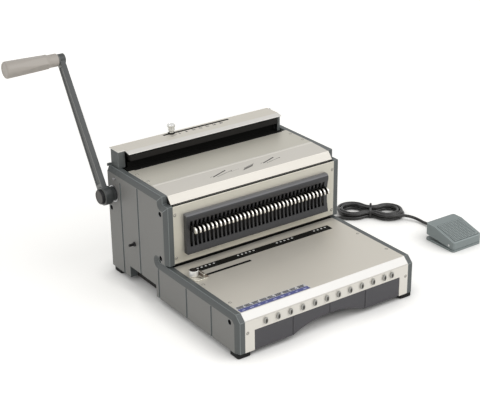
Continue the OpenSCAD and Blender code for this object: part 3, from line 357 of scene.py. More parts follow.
BRUSHED = {"metal": 0.42, "spread": 0.05, "grain": 1.0, "stretch": (14, 1500, 1500), "bump": 0.03}
STEEL = {"metal": 1.0, "grain": 1.0, "stretch": (30, 900, 900), "bump": 0.03}
MOULDED = {"bump": 0.06, "grain": 1500}
BLACK = {"bump": 0.05, "specular": 0.2}
# The "edge" value tells how many times paler a finish's rounded edges are: partly wear, partly a painted
# highlight.
FINISHES = {
    # Side panels: chamfers and groove floors are darker, painted shade; the outer faces are much lighter,
    # painted light.
    "side": ("side_moulding", (0.094, 0.104, 0.104), {
        **MOULDED, "rough": 0.5, "edge": 2.3,
        "zones": [("X", 0.1852, (0.087, 0.095, 0.094)), ("X", 0.1897, (0.208, 0.205, 0.194))]}),
    "cap": ("cap_moulding", (0.108, 0.116, 0.114), {**MOULDED, "rough": 0.5}),
    "rear": ("rear_paint", (0.108, 0.120, 0.122), {"rough": 0.5, "bump": 0.12, "grain": 1100}),
    # Rack: a lighter band along the rounded top, a painted highlight.
    "rack": ("rack_moulding", (0.035, 0.035, 0.038), {
        **MOULDED, "rough": 0.32, "specular": 0.42, "zones": [("Z", 0.1731, (0.14, 0.14, 0.146))]}),
    "drawer": ("drawer_moulding", (0.073, 0.071, 0.078), {**MOULDED, "rough": 0.42, "specular": 0.35}),
    "plate": ("brushed_plate", (0.66, 0.625, 0.555), {**BRUSHED, "rough": 0.48}),
    # Closer plate: the front band is paler than the rear part, a painted highlight along its front edge.
    "lip_highlight": ("closer_plate", (0.71, 0.69, 0.65), {
        **BRUSHED, "rough": 0.45, "zones": [("Y", 0.1725, (0.66, 0.625, 0.553))]}),
    # Top cover: the part behind the bend is darker, painted shade.
    "cover": ("cover_plate", (0.66, 0.63, 0.572), {
        **BRUSHED, "metal": 0.33, "rough": 0.46, "zones": [("Y", 0.0715, (0.585, 0.56, 0.485))]}),
    # Bend: a paler strip along the top cover's bend, a painted highlight.
    "bend": ("bend_highlight_plate", (0.74, 0.712, 0.65), {**BRUSHED, "metal": 0.22, "rough": 0.5}),
    # Face plate: darker than the table's plate, painted shade under the cover's overhang.
    "face": ("face_plate", (0.61, 0.585, 0.505), {**BRUSHED, "rough": 0.42}),
    # Front panel: the slope is whiter than the upright strip, a painted reflection.
    "front": ("front_paint", (0.82, 0.805, 0.775), {
        "rough": 0.42, "metal": 0.15, "spread": 0.03, "bump": 0.02,
        "zones": [("Y", 0.2046, (0.82, 0.788, 0.72))]}),
    # Crease: a darker line along the front panel's fold, painted shade.
    "crease": ("crease_shade", (0.68, 0.655, 0.60), {"rough": 0.5, "spread": 0.03}),
    "steel": ("machined_steel", (0.42, 0.42, 0.43), {**STEEL, "rough": 0.34}),
    "screw": ("screw_steel", (0.52, 0.50, 0.45), {**STEEL, "rough": 0.34}),
    # Hooks: the shanks by the rack are nearly black, a painted dark reflection; the noses are bright, a
    # painted highlight; the edges are paler still, a painted highlight.
    "chrome": ("polished_steel", (0.12, 0.112, 0.10), {
        "rough": 0.07, "metal": 1.0, "spread": 0.03, "rough_spread": 0.03, "grain": 500, "edge": 4.5,
        "zones": [("Y", 0.0098, (0.78, 0.765, 0.725))]}),
    "black_metal": ("black_metal", (0.012, 0.011, 0.010), {**BLACK, "rough": 0.55}),
    "rubber": ("foot_rubber", (0.016, 0.016, 0.016), {
        "rough": 0.8, "bump": 0.15, "grain": 700, "specular": 0.2}),
    "print_black": ("ruler_print", (0.009, 0.009, 0.008), {"bump": 0.05, "rough": 0.6, "specular": 0.06}),
    # Arm: the outer rim faces are lighter than the rest, a painted highlight.
    "arm": ("arm_paint", (0.046, 0.050, 0.050), {
        "rough": 0.40, "bump": 0.06, "grain": 1200, "zones": [("X", 0.2136, (0.165, 0.168, 0.158))]}),
    "inlay": ("arm_inlay", (0.055, 0.058, 0.056), {"rough": 0.38, "bump": 0.03, "grain": 1200}),
    "hub": ("hub_face", (0.045, 0.042, 0.038), {"rough": 0.45, "bump": 0.04, "grain": 1200}),
    "grip": ("grip_plastic", (0.44, 0.405, 0.365), {"rough": 0.42, "bump": 0.04, "grain": 1500}),
    "pin": ("pin_metal", (0.36, 0.355, 0.33), {"rough": 0.5, "metal": 0.15}),
    "drum": ("drum_metal", (0.84, 0.83, 0.80), {"rough": 0.34, "metal": 0.3}),
    "lid": ("drum_lid", (0.022, 0.018, 0.016), {"rough": 0.6, "specular": 0.15}),
    "knob": ("knob_metal", (0.70, 0.70, 0.68), {"rough": 0.22, "metal": 1.0, "grain": 700}),
    "black": ("black_plastic", (0.016, 0.016, 0.017), {**BLACK, "rough": 0.45, "grain": 1400}),
    "cord": ("cord_sheath", (0.020, 0.019, 0.018), {"rough": 0.3, "bump": 0.06}),
    "board": ("board", (0.03, 0.12, 0.05), {"rough": 0.4}),
    "case": ("gear_case", (0.22, 0.225, 0.23), {"rough": 0.55, "metal": 0.7, "bump": 0.2, "grain": 500}),
    "pedal": ("pedal_moulding", (0.25, 0.288, 0.286), {
        "rough": 0.5, "bump": 0.08, "grain": 1300, "edge": 1.6}),
    "tread": ("pedal_tread", (0.085, 0.098, 0.10), {"rough": 0.6, "bump": 0.08, "grain": 1300}),
    "white": ("white_plastic", (0.80, 0.80, 0.78), {"rough": 0.4}),
    "block": ("tread_block", (0.40, 0.45, 0.445), {"rough": 0.5, "bump": 0.08, "grain": 1300}),
    "ink": ("label_ink", (0.03, 0.03, 0.033), {"rough": 0.55, "specular": 0.2}),
    # Faint: fine print and drawing on the ruler and the cover, and painted shade in the knobs' recesses and
    # round the screw heads.
    "faint": ("faint_ink_and_shade", (0.075, 0.07, 0.06), {"rough": 0.55, "specular": 0.2}),
    "pencil": ("pencil_ink", (0.17, 0.163, 0.15), {"rough": 0.55, "specular": 0.2}),
    "blue": ("label_blue", (0.075, 0.088, 0.27), {"rough": 0.45}),
    "paper": ("label_white", (0.62, 0.62, 0.62), {"rough": 0.5}),
    "pale": ("label_pale", (0.42, 0.43, 0.66), {"rough": 0.5}),
    "guide": ("guide_metal", (0.72, 0.68, 0.59), {
        "rough": 0.36, "metal": 0.3, "zones": [("Z", 0.0799, (0.17, 0.135, 0.108))]}),
    "fence": ("fence_metal", (0.17, 0.135, 0.108), {"rough": 0.36, "metal": 0.4}),
    # Black that stands in for shade: painted shade in gaps, slots and the closer's mouth.
    "shade_black": ("painted_shade_black", (0.010, 0.010, 0.010), {"rough": 0.9, "bump": 0.3, "grain": 900, "specular": 0.1}),
}
# How many times paler rounded edges are, unless a finish gives its own: partly wear, partly a painted
# highlight.
EDGE_HIGHLIGHT = 1.35
EDGE_LIMIT = 0.9
EDGE_SMOOTH = 0.8


def plain(values):
    """A finish without the value for its edges."""
    return {k: v for k, v in values.items() if k != "edge"}


def edge_finish(name, colour, values):
    """The same finish along a rounded edge: paler and smoother, partly from wear and partly a painted
    highlight.
    """
    worn_and_highlit = plain(values)
    light = values.get("edge", EDGE_HIGHLIGHT)
    worn_and_highlit["rough"] = EDGE_SMOOTH * values["rough"]
    worn_and_highlit["zones"] = ()
    return surface(name + "_edge", [min(EDGE_LIMIT, light * c) for c in colour], **worn_and_highlit)


M = {key: surface(name, colour, **plain(values)) for key, (name, colour, values) in FINISHES.items()}
EDGE = {}


def edge_of(key):
    """The edge finish that goes with a finish, made once."""
    if key not in EDGE:
        EDGE[key] = edge_finish(*FINISHES[key])
    return EDGE[key]


# Finishes of the scene's pieces that take another slot than the one named after them
SLOT = {
    "white": "pin_plastic", "drum": "knob_metal", "block": "pedal_moulding", "shade_black": "black_plastic",
    **dict.fromkeys(("ink", "paper"), "ruler_print"),
    **dict.fromkeys(("steel", "screw", "fence"), "steel"),
    **dict.fromkeys(("hub", "inlay"), "arm_paint"),
    **dict.fromkeys(("bend", "face", "crease"), "brushed_plate"),
}


# CAD nodes: finish, and how far their edges are rounded in millimetres
DRESS = [
    ("side", 0.55, ["left_side_panel", "right_side_panel"]),
    ("cap", 0.6, ["closer_end_caps"]),
    ("rear", 0.5, ["rear_cover"]),
    ("rack", 0.35, ["hook_panel"]),
    ("drawer", 0.7, ["chip_drawer"]),
    ("plate", 0.4, ["table_plate"]),
    ("lip_highlight", 0.4, ["closer_plate"]),
    ("cover", 0.5, ["top_cover"]),
    ("face", 0.4, ["face_plate"]),
    ("front", 0.5, ["front_panel"]),
    ("steel", 0.4, ["punch_ram", "drive_shaft", "handle_shaft", "shaft_bushes", "stop_peg"]),
    ("screw", 0, ["cover_screws"]),
    ("chrome", 0.9, ["wire_hooks"]),
    ("print_black", 0.4, ["closer_bed"]),
    # The hook bar is black as painted shade behind the rack's slots; the other parts are black metal.
    ("black_metal", 0.4, ["closer_slider", "closer_jaw", "side_frames", "base_plate", "hook_bar",
                          "die_block", "punch_guide"]),
    ("rubber", 0.8, ["rubber_feet"]),
    ("print_black", 0.15, ["ruler_strip"]),
    ("arm", 0.8, ["handle_arm"]),
    ("guide", 0.4, ["margin_guide"]),
    ("black", 0.4, ["inlet_module", "switch_rocker", "cord_glands", "side_peg"]),
    ("board", 0, ["control_board"]),
    ("case", 0.8, ["gearbox", "motor"]),
    ("pedal", 0.6, ["pedal_base", "pedal_treadle"]),
    ("white", 0.3, ["pedal_pin"]),
]

# Nodes whose rounding keeps its width although some of their edges are short
FULL_WIDTH = {"left_side_panel", "right_side_panel", "handle_arm", "pedal_treadle", "top_cover"}
WELD_REACH = 2e-6
FLAT_ANGLE = 0.5
HARD_ANGLE = 32


def soften(piece, width):
    """Rounds a CAD node's hard edges. The rounding takes the finish in the second slot: the paler edge
    finish, partly wear and partly a painted highlight.
    """
    weld = piece.modifiers.new("weld", "WELD")
    weld.merge_threshold = WELD_REACH
    flat = piece.modifiers.new("flat", "DECIMATE")
    flat.decimate_type = "DISSOLVE"
    flat.angle_limit = math.radians(FLAT_ANGLE)
    edge = piece.modifiers.new("edge", "BEVEL")
    edge.width = width * MM
    edge.segments = 2
    edge.limit_method = "ANGLE"
    edge.angle_limit = math.radians(HARD_ANGLE)
    edge.material = 1
    edge.use_clamp_overlap = piece.name not in FULL_WIDTH
    piece.modifiers.new("normals", "WEIGHTED_NORMAL")


for key, width, names in DRESS:
    for name in names:
        slots = nodes[name].data.materials
        slots.clear()
        slots.append(M[key])
        if width:
            slots.append(edge_of(key))
            soften(nodes[name], width)
lead.data.materials.append(M["cord"])


# Pieces, with the places and sizes that they share, in millimetres
Y_FRONT = -205
Z_TABLE = 78
Z_RULER = 78.6
Z_CLOSER = 241.5
PITCH = 8.467
X_PANEL = 190
Y_STOP = 199.5
Y_GUIDE = -47
CRANK = (185, 161)
HUB_AT = (-214.5, *CRANK)
GRIP_AT = (-216.3, 322.53, 382.82)
STOP_KNOB_AT = (-55, Y_STOP, 243.8)
GUIDE_KNOB_AT = (-166, -40, 80.1)
UP = (0, 0, 1)
LEFT = (-1, 0, 0)
INK_SINK = 0.02
INK_RISE = 0.05
NUMERAL_WEIGHT = 0.28
SQUARE = ((-1, -1), (1, -1), (1, 1), (-1, 1))


def piece_of(name, bm, body, keys, sharp=35):
    """Makes a piece of the mesh, with its finishes, on a body."""
    piece = smooth_object(name, bm, sharp)
    for key in keys:
        piece.data.materials.append(M[key])
    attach(piece, body)
    return piece


def turned(bm, profile, place, axis, sides=48, knurl=None, finish=None):
    """Turns (radius, distance) pairs round an axis. knurl is (count, depth, start, stop) along it."""
    axis = Vector(axis).normalized()
    side = axis.orthogonal().normalized()
    other = axis.cross(side)
    rings = []
    for r, d in profile:
        mid = Vector(place) + axis * d
        if r == 0:
            rings.append([bm.verts.new(mid * MM)])
            continue
        ring = []
        for k in range(sides):
            a = 2 * math.pi * k / sides
            s = r
            if knurl and knurl[2] <= d <= knurl[3]:
                s -= knurl[1] * (0.5 + 0.5 * math.cos(knurl[0] * a))
            ring.append(bm.verts.new((mid + s * (math.cos(a) * side + math.sin(a) * other)) * MM))
        rings.append(ring)
    loft(bm, rings, finish)


def bar(bm, corners, low, high, index=0):
    """A raised shape on an outline of corners. low and high give its heights at a point."""
    bottom = [bm.verts.new(vec(x, y, low(x, y))) for x, y in corners]
    top = [bm.verts.new(vec(x, y, high(x, y))) for x, y in corners]
    faces = [bm.faces.new(top)]
    n = len(corners)
    for k in range(n):
        faces.append(bm.faces.new((bottom[k], bottom[(k + 1) % n], top[(k + 1) % n], top[k])))
    for face in faces:
        face.material_index = index


def mark(bm, x0, x1, y0, y1, z, index=0):
    """A rectangle of ink on a level surface."""
    corners = [(x0, y0), (x1, y0), (x1, y1), (x0, y1)]
    bar(bm, corners, lambda x, y: z - INK_SINK, lambda x, y: z + INK_RISE, index)


def stroke(bm, a, b, width, base, index=0):
    """A straight line of ink from a to b on a surface whose height base gives."""
    d = (Vector(b) - Vector(a)).normalized()
    n = Vector((-d.y, d.x)) * width / 2
    corners = [Vector(a) - n, Vector(b) - n, Vector(b) + n, Vector(a) + n]
    bar(bm, [(p.x, p.y) for p in corners], lambda x, y: base(x, y) - INK_SINK,
        lambda x, y: base(x, y) + INK_RISE, index)


def numeral(bm, words, size, x, y, z):
    """A number of a scale, lying on a level surface."""
    curve = bpy.data.curves.new("numeral", "FONT")
    curve.body = words
    curve.size = size * MM
    curve.align_x = "CENTER"
    curve.extrude = INK_RISE / 2 * MM
    curve.offset = NUMERAL_WEIGHT * MM
    curve.resolution_u = 3
    holder = bpy.data.objects.new("numeral", curve)
    scene.collection.objects.link(holder)
    bpy.context.view_layer.update()
    shape = bpy.data.meshes.new_from_object(holder.evaluated_get(bpy.context.evaluated_depsgraph_get()))
    shape.transform(Matrix.Translation(vec(x, y, z + INK_RISE / 2)))
    bm.from_mesh(shape)
    bpy.data.objects.remove(holder)
    bpy.data.curves.remove(curve)
    bpy.data.meshes.remove(shape)


def ruler_marks():
    """Groups of pale dots on the ruler, with fine ticks along its front edge."""
    bm = bmesh.new()
    dot = [(2.0, -0.05), (2.0, 0.06), (1.7, 0.12), (0, 0.14)]
    y_dots = -19
    tick_count, tick_first, tick_half = 35, -152, 0.2
    y_tick, y_short, y_long = -28.4, -26.4, -25
    for first, count in ((-144.7, 5), (-59.4, 5), (25.9, 5), (110.7, 4)):
        for i in range(count):
            turned(bm, dot, (first + i * PITCH, y_dots, Z_RULER), UP, sides=16)
    for i in range(tick_count):
        x = tick_first + i * PITCH
        mark(bm, x - tick_half, x + tick_half, y_tick, y_short if i % 5 else y_long, Z_RULER, index=1)
    piece_of("ruler_marks", bm, "machine", ["white", "faint"])


def size_table():
    """Table of wire sizes at the front of the table: rows of short dashes stand for its print."""
    bm = bmesh.new()
    x0, x1, y0, y1 = -174, -30.5, -191.8, -172.5
    r = 1.5
    border, rim, inset = 0.8, 2, 0.4
    row_gap, row_step, row_height = 1.1, 2.5, 1.75
    size_inset, size_low, size_high = 4.4, 3.6, 6.0
    outline = []
    for cx, cy, start in (
            (x1 - r, y0 + r, -90), (x1 - r, y1 - r, 0), (x0 + r, y1 - r, 90), (x0 + r, y0 + r, 180)):
        for k in range(5):
            a = math.radians(start + 90 * k / 4)
            outline.append((cx + r * math.cos(a), cy + r * math.sin(a)))
    top = Z_TABLE + 0.15
    bar(bm, outline, lambda x, y: Z_TABLE - INK_SINK, lambda x, y: top)
    y_mid = -181.5
    mark(bm, x0 + border, x1 - border, y0 + border, y_mid, top, index=1)
    columns = 9
    step = (x1 - x0 - 2 * rim) / columns
    for i in range(columns):
        left = x0 + rim + i * step
        for row, share in enumerate((0.82, 0.74, 0.8)):
            y = y_mid + row_gap + row * row_step
            width = step * (share + 0.1 * math.sin(2.3 * i + row))
            mark(bm, left + inset, left + inset + width, y, y + row_height, top, index=2)
        width = step * (0.36 + 0.12 * math.sin(1.7 * i))
        start = left + size_inset
        mark(bm, start, start + width, y0 + size_low, y0 + size_high, top + INK_RISE, index=3)
    piece_of("size_table", bm, "machine", ["paper", "blue", "ink", "pale"])


COVER_LOW = (22, 208.5)
COVER_HIGH = (71.5, 210.5)


def cover_height(_, y):
    """Height of the top cover's front part, which rises evenly to the rear."""
    y0, z0 = COVER_LOW
    y1, z1 = COVER_HIGH
    return z0 + (y - y0) * (z1 - z0) / (y1 - y0)


def cover_sketches():
    """Faint drawings on the top cover: two slanting wires and a hatched wire comb."""
    bm = bmesh.new()
    broad, thin, fine = 2.4, 0.9, 0.5
    for a, b in (((-67, 43.5), (-33, 56)), ((42, 44), (73, 55.5))):
        stroke(bm, a, b, broad, cover_height, index=0)
        stroke(bm, (a[0] + 6, a[1] - 3), (b[0] + 10, b[1] - 6.5), thin, cover_height, index=1)
        stroke(bm, (b[0] + 10, b[1] - 6.5), (b[0] + 6, b[1] - 9), thin, cover_height, index=1)
        stroke(bm, (a[0] - 5, a[1] + 1), (a[0] - 1, a[1] + 2.5), thin, cover_height, index=1)
    for i in range(7):
        x = -4 + 3.4 * i
        stroke(bm, (x, 38.5 + 0.85 * i), (x + 7, 45.5 + 0.85 * i), 1.7, cover_height, index=2)
    stroke(bm, (-7, 38.5), (20, 45.5), fine, cover_height, index=1)
    stroke(bm, (1, 46), (28, 53), fine, cover_height, index=1)
    for i in range(4):
        x = -27 + 5 * i
        stroke(bm, (x, 45 + 0.6 * i), (x + 3, 46.4 + 0.6 * i), fine, cover_height, index=1)
    piece_of("cover_sketches", bm, "machine", ["ink", "faint", "pencil"])


def closer_scale():
    """Scale of wire sizes beside the stop's slot."""
    bm = bmesh.new()
    y_tick, y_long, y_short, y_words = 196.8, 194.6, 195.6, 188.8
    broad, thin, height = 0.6, 0.35, 7.0
    for i, words in enumerate(("6", "8", "10", "12", "14", "16", "20")):
        x = -42 + 15.3 * i
        mark(bm, x - broad, x + broad, y_long, y_tick, Z_CLOSER)
        numeral(bm, words, height, x, y_words, Z_CLOSER)
    for i in range(12):
        x = -34.4 + 7.65 * i
        mark(bm, x - thin, x + thin, y_short, y_tick, Z_CLOSER)
    mark(bm, -63, -57.5, 186.6, 187.8, Z_CLOSER)
    mark(bm, -56, -50, 187.6, 188.8, Z_CLOSER)
    piece_of("closer_scale", bm, "machine", ["ink"])


def stop_knob():
    """Knurled stop knob with stacked rings."""
    bm = bmesh.new()
    profile = [
        (2.6, 0.0), (4.6, 0.0), (4.9, 0.3), (4.9, 3.4), (5.2, 3.8), (6.2, 4.4), (6.6, 4.9), (6.6, 6.6),
        (6.1, 7.0), (6.1, 7.5), (6.6, 7.9), (6.6, 10.4), (6.0, 10.9), (6.0, 11.5), (7.0, 11.9), (7.5, 12.4),
        (7.5, 15.0), (7.0, 15.7), (6.2, 16.0), (5.4, 15.9), (5.0, 15.4), (0, 15.3)]
    turned(bm, profile, STOP_KNOB_AT, UP, sides=72, knurl=(36, 0.35, 12.3, 15.2))
    piece = piece_of("stop_knob_turned", bm, "stop_knob", ["knob"])
    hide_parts("closer_knob")


def guide_drum():
    """Drum knob of the margin guide: a knurled bright wall and a dark recessed top."""
    bm = bmesh.new()
    wall = [(2.6, 0.0), (7.2, 0.0), (7.7, 0.3), (7.95, 0.7), (7.95, 10.0), (7.75, 10.5), (7.4, 10.8)]
    lid = [(7.1, 10.8), (6.9, 10.6), (6.8, 10.2), (1.6, 10.1), (1.4, 9.6), (0, 9.5)]
    turned(bm, wall + lid, GUIDE_KNOB_AT, UP, sides=96, knurl=(48, 0.16, 0.7, 10.0),
           finish=[0] * 6 + [1] * 6)
    piece = piece_of("guide_drum", bm, "guide_knob", ["drum", "lid"])
    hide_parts("margin_knob")


def hub_button():
    """Cap of the handle's hub: black side, dark grey dished face."""
    bm = bmesh.new()
    profile = [
        (0, 0), (13.2, 0), (13.75, 0.4), (13.75, 4.6), (13.5, 5.2), (13.0, 5.8), (12.4, 6.3), (11.6, 6.5),
        (10.6, 6.5), (10.2, 6.2), (0, 6.0)]
    turned(bm, profile, HUB_AT, LEFT, sides=72, finish=[1] * 5 + [0] * 5)
    piece = piece_of("hub_button", bm, "handle", ["hub", "black"])
    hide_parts("hub_cap")


def grip_radius(d):
    """Radius of the grip at a distance from its end at the arm: neck, step, barrel, rounded end."""
    neck, slim, full, corner = 12, 13.5, 15.5, 3
    neck_stop, barrel_start, barrel_stop, end_start = 17.5, 20.5, 95, 100
    if d < neck_stop:
        return neck - max(0, 1 - d) ** 2
    if d < barrel_start:
        t = (d - neck_stop) / (barrel_start - neck_stop)
        return neck + (slim - neck) * t * t * (3 - 2 * t)
    if d < barrel_stop:
        return slim + (full - slim) * (d - barrel_start) / (barrel_stop - barrel_start)
    if d < end_start:
        return full
    return full - corner + math.sqrt(max(0, corner**2 - (d - end_start) ** 2))


def hand_grip():
    """Hand grip: a tapered barrel with long flats that run out towards its outer end."""
    bm = bmesh.new()
    sides = 96
    flats = 6
    half_flat = math.pi / flats
    flat_depth, flat_start, flat_rise, flat_stop, flat_run = 1.7, 19, 4, 82, 58
    stops = [0, 0.4, 1, 8, 16, 17.5, 18.2, 19, 19.8, 20.5, 21.5, 22.5, 24, 27]
    stops += [27 + 4 * i for i in range(1, 18)] + [98, 100, 101, 101.8, 102.4, 102.8, 103]
    x0, y0, z0 = GRIP_AT
    rings = []
    for d in stops:
        r = grip_radius(d)
        share = min(max((flat_stop - d) / flat_run, 0), 1)
        cut = flat_depth * share * min(max((d - flat_start) / flat_rise, 0), 1)
        ring = []
        for k in range(sides):
            a = 2 * math.pi * k / sides
            off = (a + half_flat) % (2 * half_flat) - half_flat
            s = min(r, (r - cut) / math.cos(off))
            ring.append(bm.verts.new(vec(x0 - d, y0 + s * math.sin(a), z0 + s * math.cos(a))))
        rings.append(ring)
    loft(bm, rings)
    bore = [(11, 0), (4.3, 0), (4.3, 4)]
    end = [(12.5, 103), (11.2, 103), (10.7, 102.6), (10.4, 102.2), (0, 102)]
    for profile in (bore, end):
        turned(bm, profile, GRIP_AT, LEFT, sides=sides)
    bmesh.ops.remove_doubles(bm, verts=bm.verts, dist=1e-6)
    piece = piece_of("hand_grip", bm, "grip", ["grip"], sharp=28)
    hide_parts("handle_grip")


# Screw holes of the side panels, as (y, z)
HOLES = [(28.4, 92), (24.7, 177.5), (197, 129), (-182, 61.5)]


def hole_shade_cups():
    """Black cups in the side panels' screw holes, painted shade in the holes, each with a screw head on its
    floor.
    """
    bm = bmesh.new()
    cup = [(4.46, 5.6), (4.46, 0.4), (3.4, 0.2)]
    head = [(3.2, 1.4), (2.2, 2.0), (0.8, 2.0), (0.7, 1.2), (0, 1.2)]
    x_floor = X_PANEL - 6
    for side in (-1, 1):
        for y, z in HOLES:
            turned(bm, cup + head, (side * x_floor, y, z), (side, 0, 0), sides=24)
    piece_of("hole_shade_cups", bm, "machine", ["black"])


SCREWS = (
    [((x, 6, z), (0, -1, 0)) for x in (-171.5, 171.5) for z in (96, 177.5)]
    + [((x, y, Z_TABLE), UP) for x in (-169, 169) for y in (-74, -153)]
    + [((x, Y_FRONT, 44.5), (0, -1, 0)) for x in (-170, 170)]
    + [((x, y, 210.5), UP) for x in (-169.5, 169.5) for y in (94, 132)]
)


def cross_mark(bm, place, axis, height, reach, width):
    """A dark cross drawn on a screw head: painted shade where its cross recess is."""
    axis = Vector(axis)
    side = axis.orthogonal().normalized()
    other = axis.cross(side)
    mid = Vector(place) + axis * height
    for u, v in ((side, other), (other, -side)):
        corners = [mid + reach * s * u + width * t * v for s, t in SQUARE]
        bm.faces.new([bm.verts.new(p * MM) for p in corners])


def screw_details():
    """Painted shade for the cross recesses of the cover screws, and a dark seat round each head, a painted
    shadow.
    """
    bm = bmesh.new()
    seat = [(2.25, -0.02), (2.25, 0.1), (2.75, 0.1), (2.9, -0.02)]
    for place, axis in SCREWS:
        cross_mark(bm, place, axis, height=1.02, reach=1.1, width=0.24)
        turned(bm, seat, place, axis, sides=20, finish=[1] * 3)
    piece_of("screw_recess_shades", bm, "machine", ["black", "faint"])


def rear_screws():
    """Screws round the rear cover, on the side that the photograph does not show."""
    bm = bmesh.new()
    head = [(3.4, 0), (3.4, 0.3), (3.1, 1.0), (2.2, 1.7), (1.0, 1.95), (0, 1.6)]
    for x in (-168, 168):
        for z in (20, 96, 196):
            turned(bm, head, (x, Y_REAR, z), (0, 1, 0), sides=24)
    piece_of("rear_screws", bm, "machine", ["screw"])


def treadle_grid():
    """Rows of small blocks on a darker sheet, on the sloping part of the treadle."""
    bm = bmesh.new()
    x_mid = 403
    y0, z0, y1, z1 = -123.5, 20, -67.5, 35
    along = Vector((0, y1 - y0, z1 - z0))
    length = along.length
    along.normalize()
    out = Vector((0, -along.z, along.y))
    across = Vector((1, 0, 0))
    pitch = 3.75
    columns, rows = 16, 14
    margin = 2
    first = length - margin - rows * pitch
    corner = Vector((x_mid - columns * pitch / 2, y0, z0)) + along * first
    rim = 0.1

    def at(u, v, lift):
        return bm.verts.new((corner + u * pitch * across + v * pitch * along + lift * out) * MM)

    outline = ((-rim, -rim), (columns + rim, -rim), (columns + rim, rows + rim), (-rim, rows + rim))
    sheet = [[at(u, v, lift) for u, v in outline] for lift in (-0.1, 0.12)]
    bridge(bm, sheet[0], sheet[1], 1)
    bm.faces.new(sheet[1]).material_index = 1
    for i in range(columns):
        for j in range(rows):
            rings = [
                [at(i + 0.5 + half * su, j + 0.5 + half * sv, lift) for su, sv in SQUARE]
                for half, lift in ((0.34, 0.1), (0.34, 0.6), (0.25, 1.0))]
            loft(bm, rings)
            bm.faces.new(rings[-1])
    piece_of("treadle_grid", bm, "treadle", ["block", "tread"], sharp=20)


def arm_inlay():
    """Strip in the recess of the handle's arm, narrower towards the grip."""
    bm = bmesh.new()
    lean = math.radians(31.8)
    along = Vector((0, math.sin(lean), math.cos(lean)))
    across = Vector((0, math.cos(lean), -math.sin(lean)))
    start, stop = 23, 245
    wide, taper = 8, 4 / 261
    rings = []
    for inset, x in ((0.3, -211.9), (0.3, -212.5), (0.8, -212.8)):
        low, high = start + inset, stop - inset
        ring = []
        for side, v in ((-1, low), (1, low), (1, high), (-1, high)):
            half = wide - taper * v - inset
            ring.append(bm.verts.new((Vector((x, *CRANK)) + v * along + side * half * across) * MM))
        rings.append(ring)
    loft(bm, rings)
    bm.faces.new(rings[-1])
    piece_of("arm_inlay", bm, "handle", ["inlay"], sharp=20)


def shaft_washer():
    """Bright washer on the panel, behind the collar of the handle's hub."""
    bm = bmesh.new()
    profile = [
        (13.6, 0.02), (15.6, 0.02), (15.9, 0.3), (15.9, 0.6), (15.5, 0.85), (13.6, 0.85), (13.6, 0.02)]
    turned(bm, profile, (-X_PANEL, *CRANK), LEFT, sides=64)
    piece_of("shaft_washer", bm, "machine", ["steel"])


def slot_shade_lining(bm, x0, x1, y, half, z):
    """Black lining of a slot in a plate, with a narrow rim on the plate: painted shade in and round the
    slot.
    """
    rim, inside, wall = 0.45, -0.08, 0.02
    rings = []
    for grow, height in (
            (rim, -0.02), (rim, 0.06), (inside, 0.06), (inside, -1.45), (wall, -1.45), (wall, -0.02)):
        low, high = y - half - grow, y + half + grow
        rings.append([bm.verts.new(vec(a, b, z + height)) for a, b in (
            (x0 - grow, low), (x1 + grow, low), (x1 + grow, high), (x0 - grow, high))])
    loft(bm, rings + rings[:1])


def slot_shade_linings():
    """Black linings of the margin guide's slot and the stop's slot: painted shade."""
    bm = bmesh.new()
    slot_shade_lining(bm, -168, -52, Y_GUIDE, 2.5, Z_TABLE)
    slot_shade_lining(bm, -72, 72, Y_STOP, 2.25, Z_CLOSER)
    piece_of("slot_shade_linings", bm, "machine", ["shade_black"], sharp=20)


def cap_shade_lining():
    """Black lining with two rivets on the inner face of the closer's right end cap: painted shade inside the
    closer's mouth.
    """
    bm = bmesh.new()
    x_face = 163.6
    y0, y1, low, high, cut = 166.6, 176.2, 207.7, 236.8, 1.5
    outline = [(y0 + cut, low), (y1, low), (y1, high), (y0 + cut, high), (y0, high - cut), (y0, low + cut)]
    rings = [[bm.verts.new(vec(x, y, z)) for y, z in outline] for x in (164.02, x_face)]
    loft(bm, rings)
    bm.faces.new(rings[-1])
    rivet = [(1.3, -0.1), (1.3, 0.08), (0.9, 0.2), (0, 0.24)]
    for z in (214, 230):
        turned(bm, rivet, (x_face, 170, z), LEFT, sides=16)
    piece_of("cap_shade_lining", bm, "machine", ["shade_black"], sharp=25)


# Long strips of trim: piece, finish, and each strip's half length with its (y, z) section
COVER_HALF = 174.6
TRIM = [
    ("cover_bend_highlight", "bend", [(COVER_HALF, [
        (68.2, 210.2), (68.4, 210.44), (69.8, 210.7), (71.5, 210.8), (73.2, 210.72), (74.7, 210.56),
        (74.9, 210.3)])]),
    # Black strips of painted shade: in the gap under the cover's front slope, along the slope's front edge,
    # and a painted shadow on the cover in front of the closer's mouth.
    ("cover_gap_shade", "shade_black", [
        (168.8, [
            (7.7, 190.2), (7.7, 192.6), (8.4, 193.2), (10.4, 193.5), (11.6, 193.2), (11.9, 192.4),
            (11.9, 190.2)]),
        (COVER_HALF, [(10.7, 194.6), (10.75, 195.3), (11.15, 195.75), (11.4, 195.6), (11.5, 194.6)]),
        (163.4, [(150.2, 210.3), (150.3, 210.75), (150.8, 210.95), (153.2, 211.0), (153.5, 210.3)])]),
    ("face_hem", "face", [(COVER_HALF, [
        (5.85, 192.2), (5.85, 193.1), (6.2, 193.55), (6.9, 193.6), (7.5, 193.2), (7.6, 192.2)])]),
    ("front_crease", "crease", [(COVER_HALF, [
        (-205.12, 65.9), (-205.14, 66.5), (-204.9, 66.85), (-204.1, 67.6), (-203.9, 67.3),
        (-204.6, 65.9)])]),
]


